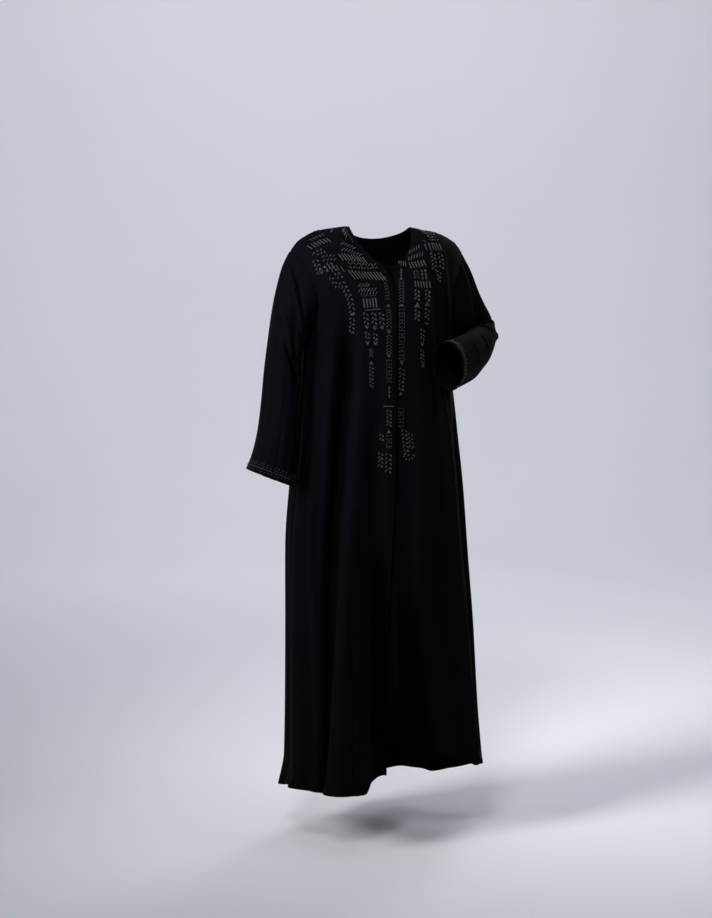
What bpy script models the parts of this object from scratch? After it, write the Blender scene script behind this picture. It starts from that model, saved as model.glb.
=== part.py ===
"""Open abaya cloak in its worn, hollow form: five cut pieces as thin walls, in metres, +Z up.

The wearer faces -Y, so the wearer's right is -X. The origin lies between the two high shoulder
points at the base of the neck. Every piece is a grid of points on the cloth's middle, given a wall:
columns run down from the top edge to the hem, and rows run round the body. On the body a point has
an angle round it, in degrees from the centre front (+90 the left side seam, 180 the centre back,
-90 or 270 the right side seam), and a drop: 0 at the top edge, 1 at the underarm, 2 at the hem.
"""

from collections import namedtuple

import bpy
import numpy as np

WALL = 0.002  # the cloth's wall
SEAM_GAP = 0.0003  # between two pieces at a seam
SEAM_TURN = 0.003  # a sleeve leaves its seam nearly in line with the panel for this long
LAP_GAP = 0.0014  # between the two fronts where they lap
HEM_TURNING = 0.0008  # what the turned hem adds to the wall's outside
HEM_WIDTH = 0.014
CUFF_WIDTH = 0.020
NECK_TURNING_DROP = 0.05  # the drop that the turned neck edge reaches to, about 12 mm down
STEP_SHARE = 0.07  # the share of a turned edge over which it steps out of the cloth

# Body sizes
NECK_HALF = 0.078  # from the centre to the high shoulder point
NECK_TOP = 0.010
NECK_FRONT = (-0.079, -0.086)  # (y, z) of the neck edge at the centre front
NECK_BACK = (0.058, -0.014)  # (y, z) of the neck edge at the centre back
NECK_SHARE = 0.42  # the share of a half top edge that is neck edge, the rest is shoulder seam
NECK_SCOOP = 1.3  # above 1 the neckline falls sooner from the shoulder
NECK_FLARE = 0.050  # how far the cloth spreads outwards below the high shoulder point
NECK_FLARE_SPREAD = 0.4  # over this share of the half top edge to each side
UNDERARM_Z = -0.280
BODY_LENGTH = 1.120  # from the underarm to the back hem
SLEEVE_LENGTH = 0.450
ARMHOLE_BULGE = {"front": 0.062, "back": 0.070}  # how far the armhole curves out before the seam
ARMHOLE_INWARD = {"front": 0.022, "back": 0.012}
ARMHOLE_SWAY = (0.35, 1.5)  # where the armhole's curve begins, and how low it is deepest
CHEST_FLATNESS = 0.15  # 0 falls in a straight line from the neck edge, 1 rounds over like the shoulder
CHEST_REACH = 1.1  # above 1 the cloth leaves the shoulder more gently
SQUARENESS = 0.06  # how far a section's corners stand out, as a share of its half-width

# Rows and columns of the grids
CAP_ROWS = 11  # from the top edge to the underarm
SKIRT_ROWS = 18  # from the underarm to the hem
SHOULDER_COLUMNS = 9  # along each shoulder seam, the same on the front and the back
BACK_NECK_COLUMNS = 10
FRONT_NECK_COLUMNS = 5
LAP_COLUMNS = 3
SLEEVE_ROWS = 18
OFF_PANEL_STEP = 3.0  # degrees inside a panel's edge, to find the direction that leads off it

Section = namedtuple("Section", "z right left front back")
SECTIONS = (  # half-widths to each side, and depths to the front and back, at each height
    Section(-0.280, 0.190, 0.180, 0.124, 0.112),
    Section(-0.350, 0.194, 0.180, 0.130, 0.112),
    Section(-0.450, 0.203, 0.189, 0.134, 0.116),
    Section(-0.600, 0.214, 0.203, 0.144, 0.132),
    Section(-0.770, 0.224, 0.214, 0.152, 0.148),
    Section(-0.970, 0.222, 0.232, 0.160, 0.162),
    Section(-1.180, 0.221, 0.247, 0.170, 0.174),
    Section(-1.300, 0.222, 0.259, 0.178, 0.182),
    Section(-1.400, 0.238, 0.270, 0.186, 0.190),
)

Edge = namedtuple("Edge", "z x")
FRONT_EDGE = (  # where the right front's edge lies on the left front
    Edge(-0.086, -0.022),
    Edge(-0.100, -0.010),
    Edge(-0.122, -0.001),
    Edge(-0.150, 0.002),
    Edge(-0.280, -0.002),
    Edge(-0.500, -0.007),
    Edge(-0.750, -0.021),
    Edge(-1.000, -0.030),
    Edge(-1.350, -0.034),
)
LAP_DEGREES = 10.5  # how far the left front runs on under the right one
LAP_CLEAR = (1.0, 7.0)  # past the right front's edge the left front comes out between these degrees

Hem = namedtuple("Hem", "angle z")
HEMS = {
    "front_right": (
        Hem(-90, -1.362),
        Hem(-60, -1.353),
        Hem(-45, -1.353),
        Hem(-24, -1.349),
        Hem(-20, -1.322),
        Hem(-6, -1.313),
    ),
    "front_left": (
        Hem(-22, -1.214),
        Hem(-8, -1.222),
        Hem(10, -1.258),
        Hem(30, -1.284),
        Hem(55, -1.310),
        Hem(75, -1.338),
        Hem(90, -1.352),
    ),
    "back": (
        Hem(90, -1.352),
        Hem(120, -1.385),
        Hem(150, -1.396),
        Hem(180, -1.400),
        Hem(210, -1.398),
        Hem(240, -1.386),
        Hem(270, -1.362),
    ),
}

Shoulder = namedtuple("Shoulder", "share x y z")
SHOULDER_SEAM = (  # from the neck edge to the sleeve
    Shoulder(0.00, 0.078, 0.000, 0.010),
    Shoulder(0.45, 0.145, 0.004, 0.001),
    Shoulder(0.80, 0.199, 0.009, -0.021),
    Shoulder(1.00, 0.224, 0.012, -0.050),
)

# A fold runs from one height to another; its middle, half-width and depth change evenly between.
# Ridges have a positive depth and valleys a negative one.
Fold = namedtuple("Fold", "name z0 z1 at0 at1 half0 half1 depth0 depth1")
FOLD_START = 0.20  # a fold grows to its first depth over this height
BODY_FOLDS = (
    Fold("right side flute", -0.42, -1.36, -76, -76, 14, 15, 0.003, 0.014),
    Fold("right side line", -0.40, -1.36, -60, -55, 8, 7, 0.007, 0.010),
    Fold("deep valley", -0.18, -1.36, -36, -51, 13, 6, -0.034, -0.010),
    Fold("front flute", -0.24, -1.34, -23, -39, 13, 17, 0.007, 0.028),
    Fold("flute inner ridge", -0.75, -1.34, -25, -26, 6, 6, 0.002, 0.010),
    Fold("edge hollow", -0.66, -1.34, -13, -13, 10, 11, -0.003, -0.040),
    Fold("left edge hollow", -0.75, -1.30, 6, 8, 14, 18, -0.003, -0.018),
    Fold("left side ridge", -0.33, -1.34, 41, 47, 12, 11, 0.008, 0.013),
    Fold("left side valley", -0.36, -1.34, 58, 62, 12, 12, -0.008, -0.017),
    Fold("left shoulder fold, outer", -0.02, -0.42, 62, 50, 6, 6, 0.007, 0.002),
    Fold("left shoulder fold, inner", -0.06, -0.40, 47, 38, 5, 5, 0.005, 0.002),
    Fold("right chest hollow", -0.10, -0.42, -66, -58, 8, 9, -0.006, -0.004),
    Fold("back left flute", -0.36, -1.39, 114, 112, 14, 13, 0.004, 0.018),
    Fold("back left valley", -0.26, -1.39, 135, 133, 13, 11, -0.010, -0.026),
    Fold("back middle left flute", -0.40, -1.40, 156, 154, 13, 13, 0.005, 0.026),
    Fold("back middle valley", -0.24, -1.40, 178, 176, 13, 12, -0.008, -0.028),
    Fold("back middle right flute", -0.36, -1.40, 201, 200, 12, 13, 0.006, 0.024),
    Fold("back right valley", -0.22, -1.39, 222, 223, 13, 11, -0.012, -0.026),
    Fold("back right flute", -0.34, -1.38, 243, 244, 12, 12, 0.004, 0.014),
)

# A ring of a sleeve: its share of the way down, the points of its outer line (from the shoulder) and
# its inner line (from the underarm), how far its front is turned round +Z, its half-size across, and
# how far it has changed from the armhole's curve to an oval.
Ring = namedtuple("Ring", "along out_x out_y out_z in_x in_y in_z turn half_side roundness")
SLEEVE_RINGS = {
    "sleeve_right": (
        Ring(0.00, -0.224, 0.012, -0.050, -0.190, 0.000, -0.280, 0, 0.062, 0.0),
        Ring(0.10, -0.244, 0.010, -0.088, -0.199, 0.000, -0.283, 0, 0.066, 0.2),
        Ring(0.22, -0.263, 0.006, -0.160, -0.203, 0.000, -0.290, 0, 0.072, 0.6),
        Ring(0.36, -0.277, 0.000, -0.250, -0.204, -0.002, -0.312, 0, 0.074, 1.0),
        Ring(0.50, -0.290, -0.005, -0.334, -0.206, -0.006, -0.354, 0, 0.074, 1.0),
        Ring(0.64, -0.299, -0.011, -0.405, -0.214, -0.012, -0.416, 0, 0.073, 1.0),
        Ring(0.78, -0.311, -0.019, -0.476, -0.221, -0.020, -0.494, 0, 0.071, 1.0),
        Ring(0.90, -0.327, -0.026, -0.532, -0.227, -0.026, -0.562, 0, 0.070, 1.0),
        Ring(1.00, -0.344, -0.030, -0.572, -0.232, -0.030, -0.618, 0, 0.069, 1.0),
    ),
    "sleeve_left": (
        Ring(0.00, 0.224, 0.012, -0.050, 0.180, 0.000, -0.280, 0, 0.062, 0.0),
        Ring(0.10, 0.246, 0.013, -0.088, 0.192, 0.001, -0.285, 0, 0.064, 0.2),
        Ring(0.22, 0.273, 0.017, -0.146, 0.208, 0.015, -0.291, -12, 0.058, 0.6),
        Ring(0.35, 0.302, 0.012, -0.206, 0.244, 0.054, -0.292, -46, 0.041, 1.0),
        Ring(0.48, 0.279, -0.026, -0.226, 0.268, 0.034, -0.310, -86, 0.040, 1.0),
        Ring(0.61, 0.240, -0.054, -0.233, 0.252, -0.020, -0.331, -118, 0.040, 1.0),
        Ring(0.75, 0.202, -0.097, -0.245, 0.218, -0.075, -0.351, -131, 0.034, 1.0),
        Ring(0.88, 0.155, -0.140, -0.257, 0.169, -0.124, -0.367, -134, 0.034, 1.0),
        Ring(1.00, 0.106, -0.184, -0.269, 0.120, -0.168, -0.381, -136, 0.037, 1.0),
    ),
}

# A sleeve's fold: along the sleeve from one share to another, and round it in degrees from the
# outer line towards the front.
SleeveFold = namedtuple("SleeveFold", "name from_ to at0 at1 half depth")
SLEEVE_FOLDS = {
    "sleeve_right": (
        SleeveFold("front drag fold", 0.06, 0.62, 62, 112, 20, -0.007),
        SleeveFold("front ridge", 0.10, 0.90, 38, 78, 20, 0.005),
        SleeveFold("inner fold", 0.18, 0.95, 150, 150, 24, -0.006),
        SleeveFold("back drag fold", 0.10, 0.80, 300, 262, 22, -0.006),
        SleeveFold("cuff wave", 0.70, 1.05, 20, 30, 22, 0.004),
    ),
    "sleeve_left": (
        SleeveFold("elbow fold, upper", 0.30, 0.56, 20, 40, 24, -0.006),
        SleeveFold("elbow fold, middle", 0.36, 0.66, 80, 92, 26, -0.006),
        SleeveFold("elbow fold, lower", 0.42, 0.72, 150, 140, 22, -0.007),
        SleeveFold("upper arm ridge", 0.05, 0.36, 56, 40, 20, 0.006),
        SleeveFold("back of the arm", 0.12, 0.44, 300, 280, 24, 0.004),
        SleeveFold("forearm hang", 0.56, 1.05, 190, 184, 30, 0.006),
    ),
}

COLOURS = {"cloth": (0.012, 0.011, 0.015, 1.0)}


# ---------------------------------------------------------------------------------------------
# Curves and surfaces


def through(table, key, column, at):
    """A smooth curve through a table's rows, flat past its ends and never past its neighbours."""
    x = np.array([getattr(row, key) for row in table], float)
    y = np.array([getattr(row, column) for row in table], float)
    if x[0] > x[-1]:
        x, y = x[::-1], y[::-1]
    step, rise = np.diff(x), np.diff(y)
    slopes = rise / step
    tangent = np.zeros_like(y)
    same = slopes[:-1] * slopes[1:] > 0
    safe = np.where(same, slopes[:-1] + slopes[1:], 1.0)
    tangent[1:-1] = np.where(same, 2 * slopes[:-1] * slopes[1:] / safe, 0.0)
    at = np.clip(at, x[0], x[-1])
    i = np.clip(np.searchsorted(x, at, side="right") - 1, 0, len(x) - 2)
    u = (at - x[i]) / step[i]
    return (
        y[i] * (1 + 2 * u) * (1 - u) ** 2
        + y[i + 1] * u * u * (3 - 2 * u)
        + step[i] * (tangent[i] * u * (1 - u) ** 2 - tangent[i + 1] * u * u * (1 - u))
    )


def ease(x):
    """0 to 1 with soft ends."""
    x = np.clip(x, 0.0, 1.0)
    return x * x * (3 - 2 * x)


def bump(x):
    """1 in the middle, 0 from -1 and from 1 on."""
    return np.where(np.abs(x) < 1, np.cos(np.clip(x, -1, 1) * np.pi / 2) ** 2, 0.0)


def unit(v):
    return v / np.maximum(np.linalg.norm(v, axis=-1, keepdims=True), 1e-12)


def section(angle, z):
    """The body's cross-section without folds: a soft-cornered oval of the table's sizes."""
    a = np.radians(angle)
    half = np.where(
        np.sin(a) < 0, through(SECTIONS, "z", "right", z), through(SECTIONS, "z", "left", z)
    )
    deep = np.where(
        np.cos(a) > 0, through(SECTIONS, "z", "front", z), through(SECTIONS, "z", "back", z)
    )
    corner = 1 + SQUARENESS * np.sin(2 * a) ** 2
    return np.stack([half * np.sin(a) * corner, -deep * np.cos(a) * corner, z], axis=-1)


def from_centre(panel, angle):
    """(which side, 0 at the panel's centre to 1 at its side seam)."""
    middle = 0.0 if panel != "back" else 180.0
    turned = angle - middle
    side = np.where(turned < 0, -1.0, 1.0) * (1.0 if panel != "back" else -1.0)
    return side, np.abs(turned) / 90.0


def top_edge(panel, angle):
    """The panel's top edge: half the neck edge, then the shoulder seam."""
    side, out = from_centre(panel, angle)
    neck = np.clip(out / NECK_SHARE, 0, 1) * np.pi / 2
    share = np.clip((out - NECK_SHARE) / (1 - NECK_SHARE), 0, 1)
    centre_y, centre_z = NECK_FRONT if panel != "back" else NECK_BACK
    on_neck = np.stack(
        [
            NECK_HALF * np.sin(neck),
            centre_y * np.cos(neck),
            NECK_TOP + (centre_z - NECK_TOP) * np.cos(neck) ** NECK_SCOOP,
        ],
        axis=-1,
    )
    on_shoulder = np.stack(
        [through(SHOULDER_SEAM, "share", c, share) for c in ("x", "y", "z")], axis=-1
    )
    p = np.where((out < NECK_SHARE)[..., None], on_neck, on_shoulder)
    p[..., 0] *= side
    return p


def smooth_body(panel, angle, drop):
    """The cloth's middle without folds."""
    angle, drop = np.broadcast_arrays(np.asarray(angle, float), np.asarray(drop, float))
    hem = through(HEMS[panel], "angle", "z", angle)
    low = section(angle, UNDERARM_Z + (hem - UNDERARM_Z) * np.maximum(drop - 1, 0))
    side, out = from_centre(panel, angle)
    top, underarm = top_edge(panel, angle), section(angle, np.full(angle.shape, UNDERARM_Z))
    s = np.clip(drop, 0, 1)
    turn = s * np.pi / 2
    steep = CHEST_FLATNESS + (1 - CHEST_FLATNESS) * ease(out / NECK_SHARE)
    sway_from, sway_low = ARMHOLE_SWAY
    sway = np.sin(np.pi * s**sway_low) * ease((out - sway_from) / (1 - sway_from))
    forward = -1.0 if panel != "back" else 1.0
    kind = "back" if panel == "back" else "front"
    down = steep * (1 - np.cos(turn)) + (1 - steep) * s
    reach = np.sin(turn) ** CHEST_REACH
    beside_neck = bump((out - NECK_SHARE) / NECK_FLARE_SPREAD)
    flare = NECK_FLARE * beside_neck * np.sin(np.pi * s) * (1 - s)
    cap = np.stack(
        [
            top[..., 0]
            + (underarm[..., 0] - top[..., 0]) * ease(s)
            + side * (flare - ARMHOLE_INWARD[kind] * sway),
            top[..., 1]
            + (underarm[..., 1] - top[..., 1]) * reach
            + forward * ARMHOLE_BULGE[kind] * sway,
            top[..., 2] + (underarm[..., 2] - top[..., 2]) * down,
        ],
        axis=-1,
    )
    return np.where((drop < 1)[..., None], cap, low)


def outward(surface, angle, drop):
    """The side of a surface that faces away from the body, from small steps that stay on it."""
    turn, fall = 0.5, 0.01
    across = surface(angle + turn, drop) - surface(angle - turn, drop)
    below, above = np.minimum(drop + fall, 2.0), np.maximum(drop - fall, 0.0)
    return unit(np.cross(surface(angle, below) - surface(angle, above), across))


def fold_depth(angle, z):
    total = np.zeros(np.broadcast(angle, z).shape)
    for f in BODY_FOLDS:
        share = np.clip((f.z0 - z) / (f.z0 - f.z1), 0, 1)
        middle = f.at0 + (f.at1 - f.at0) * share
        half = f.half0 + (f.half1 - f.half0) * share
        depth = f.depth0 + (f.depth1 - f.depth0) * share
        away = (angle - middle + 180.0) % 360.0 - 180.0
        total += bump(away / half) * depth * ease((f.z0 - z) / FOLD_START)
    return total


def body(panel, angle, drop):
    """The cloth's middle with its folds."""
    p = smooth_body(panel, angle, drop)
    n = outward(lambda a, d: smooth_body(panel, a, d), angle, drop)
    return p + n * fold_depth(angle, p[..., 2])[..., None]


def own_normal(panel, angle, drop):
    return outward(lambda a, d: body(panel, a, d), angle, drop)


def body_normal(panel, angle, drop):
    """The outward direction of the folded cloth. Two panels share one direction along a shoulder."""
    normal = own_normal(panel, angle, drop)
    _, out = from_centre(panel, angle)
    on_shoulder = (drop <= 0) & (out >= NECK_SHARE - 1e-6)
    if panel == "back":
        there = own_normal("front_left", (360.0 - angle) % 360.0 - 180.0, drop)
    else:
        there = own_normal("back", (180.0 - angle) % 360.0, drop)
    return np.where(on_shoulder[..., None], unit(normal + there), normal)


# ---------------------------------------------------------------------------------------------
# Walls


def wall(name, middle, normal, around=False, raised=None, colour="cloth"):
    """A closed wall over a grid of points [row, column]; around joins the last column to the first."""
    rows, columns = middle.shape[:2]
    raised = np.zeros((rows, columns)) if raised is None else raised
    outer = middle + normal * (WALL / 2 + raised)[..., None]
    inner = middle - normal * (WALL / 2)
    points = np.concatenate([outer.reshape(-1, 3), inner.reshape(-1, 3)])
    count = rows * columns

    def at(r, c, layer):
        return layer * count + r * columns + c % columns

    faces = []
    for r in range(rows - 1):
        for c in range(columns if around else columns - 1):
            beside = (c + 1) % columns
            falling = np.linalg.norm(middle[r, c] - middle[r + 1, beside])
            rising = np.linalg.norm(middle[r + 1, c] - middle[r, beside])
            quad = [(r, c), (r + 1, c), (r + 1, c + 1), (r, c + 1)]
            if rising < falling:  # both sides of the wall share their shorter diagonal
                quad = quad[1:] + quad[:1]
            for triangle in (quad[:3], [quad[0], quad[2], quad[3]]):
                faces.append([at(*q, 0) for q in triangle])
                faces.append([at(*q, 1) for q in reversed(triangle)])
    for c in range(columns if around else columns - 1):
        faces.append([at(0, c, 0), at(0, c + 1, 0), at(0, c + 1, 1), at(0, c, 1)])
        last = rows - 1
        faces.append([at(last, c, 1), at(last, c + 1, 1), at(last, c + 1, 0), at(last, c, 0)])
    if not around:
        for r in range(rows - 1):
            last = columns - 1
            faces.append([at(r, 0, 1), at(r + 1, 0, 1), at(r + 1, 0, 0), at(r, 0, 0)])
            faces.append([at(r, last, 0), at(r + 1, last, 0), at(r + 1, last, 1), at(r, last, 1)])
    mesh = bpy.data.meshes.new(name)
    mesh.from_pydata(points.tolist(), [], faces)
    mesh.shade_smooth()
    mesh.set_sharp_from_angle(angle=np.radians(50))
    mesh.materials.append(material(colour))
    obj = bpy.data.objects.new(name, mesh)
    bpy.context.scene.collection.objects.link(obj)
    return obj


def material(name):
    found = bpy.data.materials.get(name)
    if found:
        return found
    made = bpy.data.materials.new(name)
    made.use_nodes = True
    shader = made.node_tree.nodes["Principled BSDF"]
    shader.inputs["Base Color"].default_value = COLOURS[name]
    shader.inputs["Roughness"].default_value = 0.8
    shader.inputs["Metallic"].default_value = 0.0
    made.diffuse_color = COLOURS[name]
    return made


# ---------------------------------------------------------------------------------------------
# The pieces


def drops():
    """The rows' drops: the turned neck edge, the cap, the skirt, and the step out to the turned hem."""
    hem = HEM_WIDTH / BODY_LENGTH
    skirt = np.linspace(1, 2 - hem, SKIRT_ROWS + 1)[1:]
    return np.concatenate([cap_drops(), skirt, [2 - hem * (1 - STEP_SHARE), 2.0]])


def cap_drops():
    neck = [0.0, NECK_TURNING_DROP, NECK_TURNING_DROP * (1 + 2 * STEP_SHARE)]
    return np.concatenate([neck, np.linspace(0, 1, CAP_ROWS + 1)[1:]])


def edge_angle(panel, drop):
    """The angle of the right front's edge at each row of a panel."""
    rows = np.asarray(drop, float)
    z = body_height(panel, rows)
    half = np.where(rows < 1, NECK_HALF + (SECTIONS[0].right - NECK_HALF) * ease(rows), 0.0)
    half = np.where(rows < 1, half, through(SECTIONS, "z", "right", z))
    turn = np.degrees(np.arcsin(through(FRONT_EDGE, "z", "x", z) / half))
    return turn * (NECK_SHARE + (1 - NECK_SHARE) * ease(rows))


def body_height(panel, rows):
    return smooth_body(panel, np.zeros_like(rows), rows)[..., 2]


def set_back(panel, points, column_end):
    """Moves a panel's shoulder edge and side edges half the seam gap back from their seams."""
    moved = points.copy()
    half = SEAM_GAP / 2
    forward = 1.0 if panel == "back" else -1.0
    moved[0, :, 1] += forward * half
    for end in column_end:
        inner = 1 if end == 0 else -2
        back_in = unit(points[:, inner] - points[:, end])
        along = unit(np.gradient(points[:, end], axis=0))
        back_in = unit(back_in - (back_in * along).sum(-1, keepdims=True) * along)
        moved[:, end] += back_in * half
    return moved


def turnings(panel, angle):
    """What the turned neck edge and hem add to the outside."""
    raised = np.zeros(angle.shape)
    _, out = from_centre(panel, angle)
    raised[:2] = HEM_TURNING * (out[:2] <= NECK_SHARE + 1e-6)
    raised[-2:] = HEM_TURNING
    return raised


def front_columns(panel, rows):
    """The columns' angles at each row; both fronts share those where they lap."""
    edge = edge_angle(panel, rows)[:, None]
    shoulder = 90 * NECK_SHARE
    neck = np.linspace(0, 1, FRONT_NECK_COLUMNS + 1)[None, :]
    lap = edge - LAP_DEGREES + LAP_DEGREES * np.linspace(0, 1, LAP_COLUMNS + 1)[None, :]
    side = np.broadcast_to(
        np.linspace(shoulder, 90, SHOULDER_COLUMNS + 1), (len(rows), SHOULDER_COLUMNS + 1)
    )
    if panel == "front_right":
        near = -shoulder + (edge - LAP_DEGREES + shoulder) * neck
        return np.concatenate([-side[:, ::-1], near[:, 1:-1], lap], axis=1)
    near = edge + (shoulder - edge) * neck
    return np.concatenate([lap[:, :-1], near[:, :-1], side], axis=1)


def back_columns(rows):
    neck = 180 - 90 * NECK_SHARE
    half = np.linspace(90, neck, SHOULDER_COLUMNS + 1)
    middle = np.linspace(neck, 360 - neck, BACK_NECK_COLUMNS + 1)[1:-1]
    angle = np.concatenate([half, middle, 360 - half[::-1]])
    return np.broadcast_to(angle, (len(rows), len(angle)))


def panel_grid(panel):
    """(angles, drops, points, normals) of a panel's grid, before its borders are set back."""
    rows = drops()
    angle = back_columns(rows) if panel == "back" else front_columns(panel, rows)
    drop = np.broadcast_to(rows[:, None], angle.shape)
    return angle, drop, body(panel, angle, drop), body_normal(panel, angle, drop)


def under_lap(angle, edge):
    """How far the left front lies in under the right one, as a share of the full depth."""
    begin, end = LAP_CLEAR
    return 1 - ease((angle - edge - begin) / (end - begin))


def front_right():
    angle, _, points, normal = panel_grid("front_right")
    points = set_back("front_right", points, (0,))
    return wall("front_right", points, normal, raised=turnings("front_right", angle))


def front_left():
    angle, drop, points, normal = panel_grid("front_left")
    edge = edge_angle("front_left", drop[:, 0])[:, None]
    sunk = (WALL + LAP_GAP) * under_lap(angle, edge)
    points = set_back("front_left", points - normal * sunk[..., None], (-1,))
    raised = turnings("front_left", angle) * (angle > edge + sum(LAP_CLEAR) / 2)
    return wall("front_left", points, normal, raised=raised)


def back():
    angle, _, points, normal = panel_grid("back")
    points = set_back("back", points, (0, -1))
    return wall("back", points, normal, raised=turnings("back", angle))


def armhole_side(panel, angle, drop):
    """(points, normals, directions that lead off the panel) down one side of an armhole."""
    angles = np.full(drop.shape, angle)
    points, normal = body(panel, angles, drop), body_normal(panel, angles, drop)
    middle = 180.0 if panel == "back" else 0.0
    inside = body(panel, angles + (OFF_PANEL_STEP if angle < middle else -OFF_PANEL_STEP), drop)
    along = unit(np.gradient(points, axis=0))
    off = points - inside
    off = off - (off * along).sum(-1, keepdims=True) * along
    return points, normal, unit(off)


def armhole(name):
    """The same for the whole armhole, from the shoulder down its front and up its back."""
    right = name == "sleeve_right"
    down = cap_drops()
    front = armhole_side("front_right" if right else "front_left", -90.0 if right else 90.0, down)
    rear = armhole_side("back", 270.0 if right else 90.0, down)
    whole = [np.concatenate([f, r[::-1][1:-1]]) for f, r in zip(front, rear)]
    for end, at in ((0, 0), (-1, len(down) - 1)):
        whole[1][at] = unit(front[1][end] + rear[1][end])
        whole[2][at] = unit(front[2][end] + rear[2][end])
    return whole


def sleeve_rows():
    """The rings' shares of the way down; the last ones step out to the turned cuff."""
    cuff = CUFF_WIDTH / SLEEVE_LENGTH
    main = np.linspace(0, 1 - cuff, SLEEVE_ROWS)
    return np.concatenate([main, [1 - cuff * (1 - STEP_SHARE), 1.0]])


def sleeve_angles():
    """The angle round a sleeve of each armhole point: 0 at the shoulder, 180 at the underarm."""
    down = cap_drops() * 180.0
    return np.concatenate([down, 360.0 - down[::-1][1:-1]])


def sleeve_surface(name, round_it, along):
    """Rings from the armhole's own curve to ovals, with the sleeve's folds."""
    table = SLEEVE_RINGS[name]
    get = {c: through(table, "along", c, along)[:, None, None] for c in Ring._fields[1:]}
    outer = np.concatenate([get["out_x"], get["out_y"], get["out_z"]], axis=2)
    inner = np.concatenate([get["in_x"], get["in_y"], get["in_z"]], axis=2)
    turn = np.radians(get["turn"])
    away = -1.0 if name == "sleeve_right" else 1.0
    front = np.concatenate([np.sin(turn) * away, -np.cos(turn), np.zeros_like(turn)], axis=2)
    dent = sleeve_dent(name, round_it, along)[..., None]
    a = np.radians(round_it)[None, :, None]
    half = (outer - inner) / 2
    size = np.linalg.norm(half, axis=2, keepdims=True)
    oval = (
        (outer + inner) / 2
        + half * (1 + dent / size) * np.cos(a)
        + front * (get["half_side"] + dent) * np.sin(a)
    )
    ring = armhole(name)[0]
    first_out, first_in = ring[0], ring[len(cap_drops()) - 1]
    line = first_in - first_out
    share = ((ring - first_out) @ line / (line @ line))[:, None]
    beside = ring - first_out - share * line
    carried = outer + (inner - outer) * share[None] + beside[None]
    return carried * (1 - get["roundness"]) + oval * get["roundness"]


def sleeve_dent(name, round_it, along):
    """The depth of the sleeve's folds at each ring and angle."""
    dent = np.zeros((len(along), len(round_it)))
    for f in SLEEVE_FOLDS[name]:
        share = np.clip((along - f.from_) / (f.to - f.from_), 0, 1)
        middle = f.at0 + (f.at1 - f.at0) * share
        away = (round_it[None, :] - middle[:, None] + 180) % 360 - 180
        dent += bump(away / f.half) * (np.sin(np.pi * share) ** 0.8 * f.depth)[:, None]
    return dent


def tube_normals(points):
    """The outward direction at each point of a tube: the mean of the four faces round it."""
    beside = np.roll(points, -1, axis=1)
    face = np.cross(beside[1:] - points[:-1], beside[:-1] - points[1:])
    face /= np.sqrt(np.maximum(np.linalg.norm(face, axis=2, keepdims=True), 1e-12))
    face = face + np.roll(face, 1, axis=1)
    return unit(np.concatenate([face, face[-1:]]) + np.concatenate([face[:1], face]))


def sleeve(name):
    round_it, along = sleeve_angles(), sleeve_rows()
    points = sleeve_surface(name, round_it, along)
    edge, edge_normal, off_panel = armhole(name)
    towards = unit(points[1] - edge)
    turn = edge + unit(off_panel + towards) * SEAM_TURN
    points = np.concatenate([[edge + off_panel * SEAM_GAP, turn], points[1:]])
    if name == "sleeve_left":  # the columns of both sleeves then run the same way round
        points, edge_normal = points[:, ::-1], edge_normal[::-1]
    normal = tube_normals(points)
    normal[0] = edge_normal
    normal[1] = unit(normal[1] + edge_normal)
    raised = np.zeros(points.shape[:2])
    raised[-2:] = HEM_TURNING
    return wall(name, points, normal, around=True, raised=raised)


def main():
    for obj in list(bpy.data.objects):
        bpy.data.objects.remove(obj, do_unlink=True)
    back()
    front_right()
    front_left()
    sleeve("sleeve_right")
    sleeve("sleeve_left")


main()
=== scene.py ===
"""An open abaya cloak of black crepe: panels with their creases, turned hems, sewing and stitched yoke."""

import math
from collections import namedtuple
from functools import lru_cache

import bmesh
import bpy
import numpy as np
from bpy.props import FloatProperty, FloatVectorProperty, IntProperty, PointerProperty
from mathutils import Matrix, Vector
from mathutils.bvhtree import BVHTree


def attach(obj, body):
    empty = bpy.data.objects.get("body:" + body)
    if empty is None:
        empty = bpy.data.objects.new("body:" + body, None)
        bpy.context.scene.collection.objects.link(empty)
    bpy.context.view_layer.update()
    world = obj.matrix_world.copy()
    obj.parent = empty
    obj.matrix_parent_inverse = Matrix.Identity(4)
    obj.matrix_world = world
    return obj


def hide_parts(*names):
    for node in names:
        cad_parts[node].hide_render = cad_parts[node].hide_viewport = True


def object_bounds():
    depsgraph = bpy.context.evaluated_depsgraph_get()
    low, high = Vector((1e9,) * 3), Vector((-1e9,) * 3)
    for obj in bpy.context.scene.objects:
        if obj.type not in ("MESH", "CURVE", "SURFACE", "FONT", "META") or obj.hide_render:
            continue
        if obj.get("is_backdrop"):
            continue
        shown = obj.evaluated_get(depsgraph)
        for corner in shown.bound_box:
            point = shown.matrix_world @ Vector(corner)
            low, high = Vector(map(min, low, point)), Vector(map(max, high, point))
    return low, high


bl_info = {
    "name": "Abaya cloak",
    "version": (1, 0, 0),
    "blender": (4, 5, 0),
    "location": "3D View > Sidebar > Abaya",
    "description": "Crepe panels with creases, turned hems, sewing and a stitched yoke",
    "category": "Object",
}

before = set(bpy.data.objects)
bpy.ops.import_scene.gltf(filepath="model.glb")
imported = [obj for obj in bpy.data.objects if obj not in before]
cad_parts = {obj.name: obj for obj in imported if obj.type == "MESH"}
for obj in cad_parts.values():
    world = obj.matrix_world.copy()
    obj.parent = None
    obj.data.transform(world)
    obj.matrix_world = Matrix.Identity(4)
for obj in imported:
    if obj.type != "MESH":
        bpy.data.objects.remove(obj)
CAD_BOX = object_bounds()
ROOT = "root"

# ---------------------------------------------------------------------------------------------
# The cut: the same named sizes and tables as the solids, in metres. The wearer faces -Y.

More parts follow.
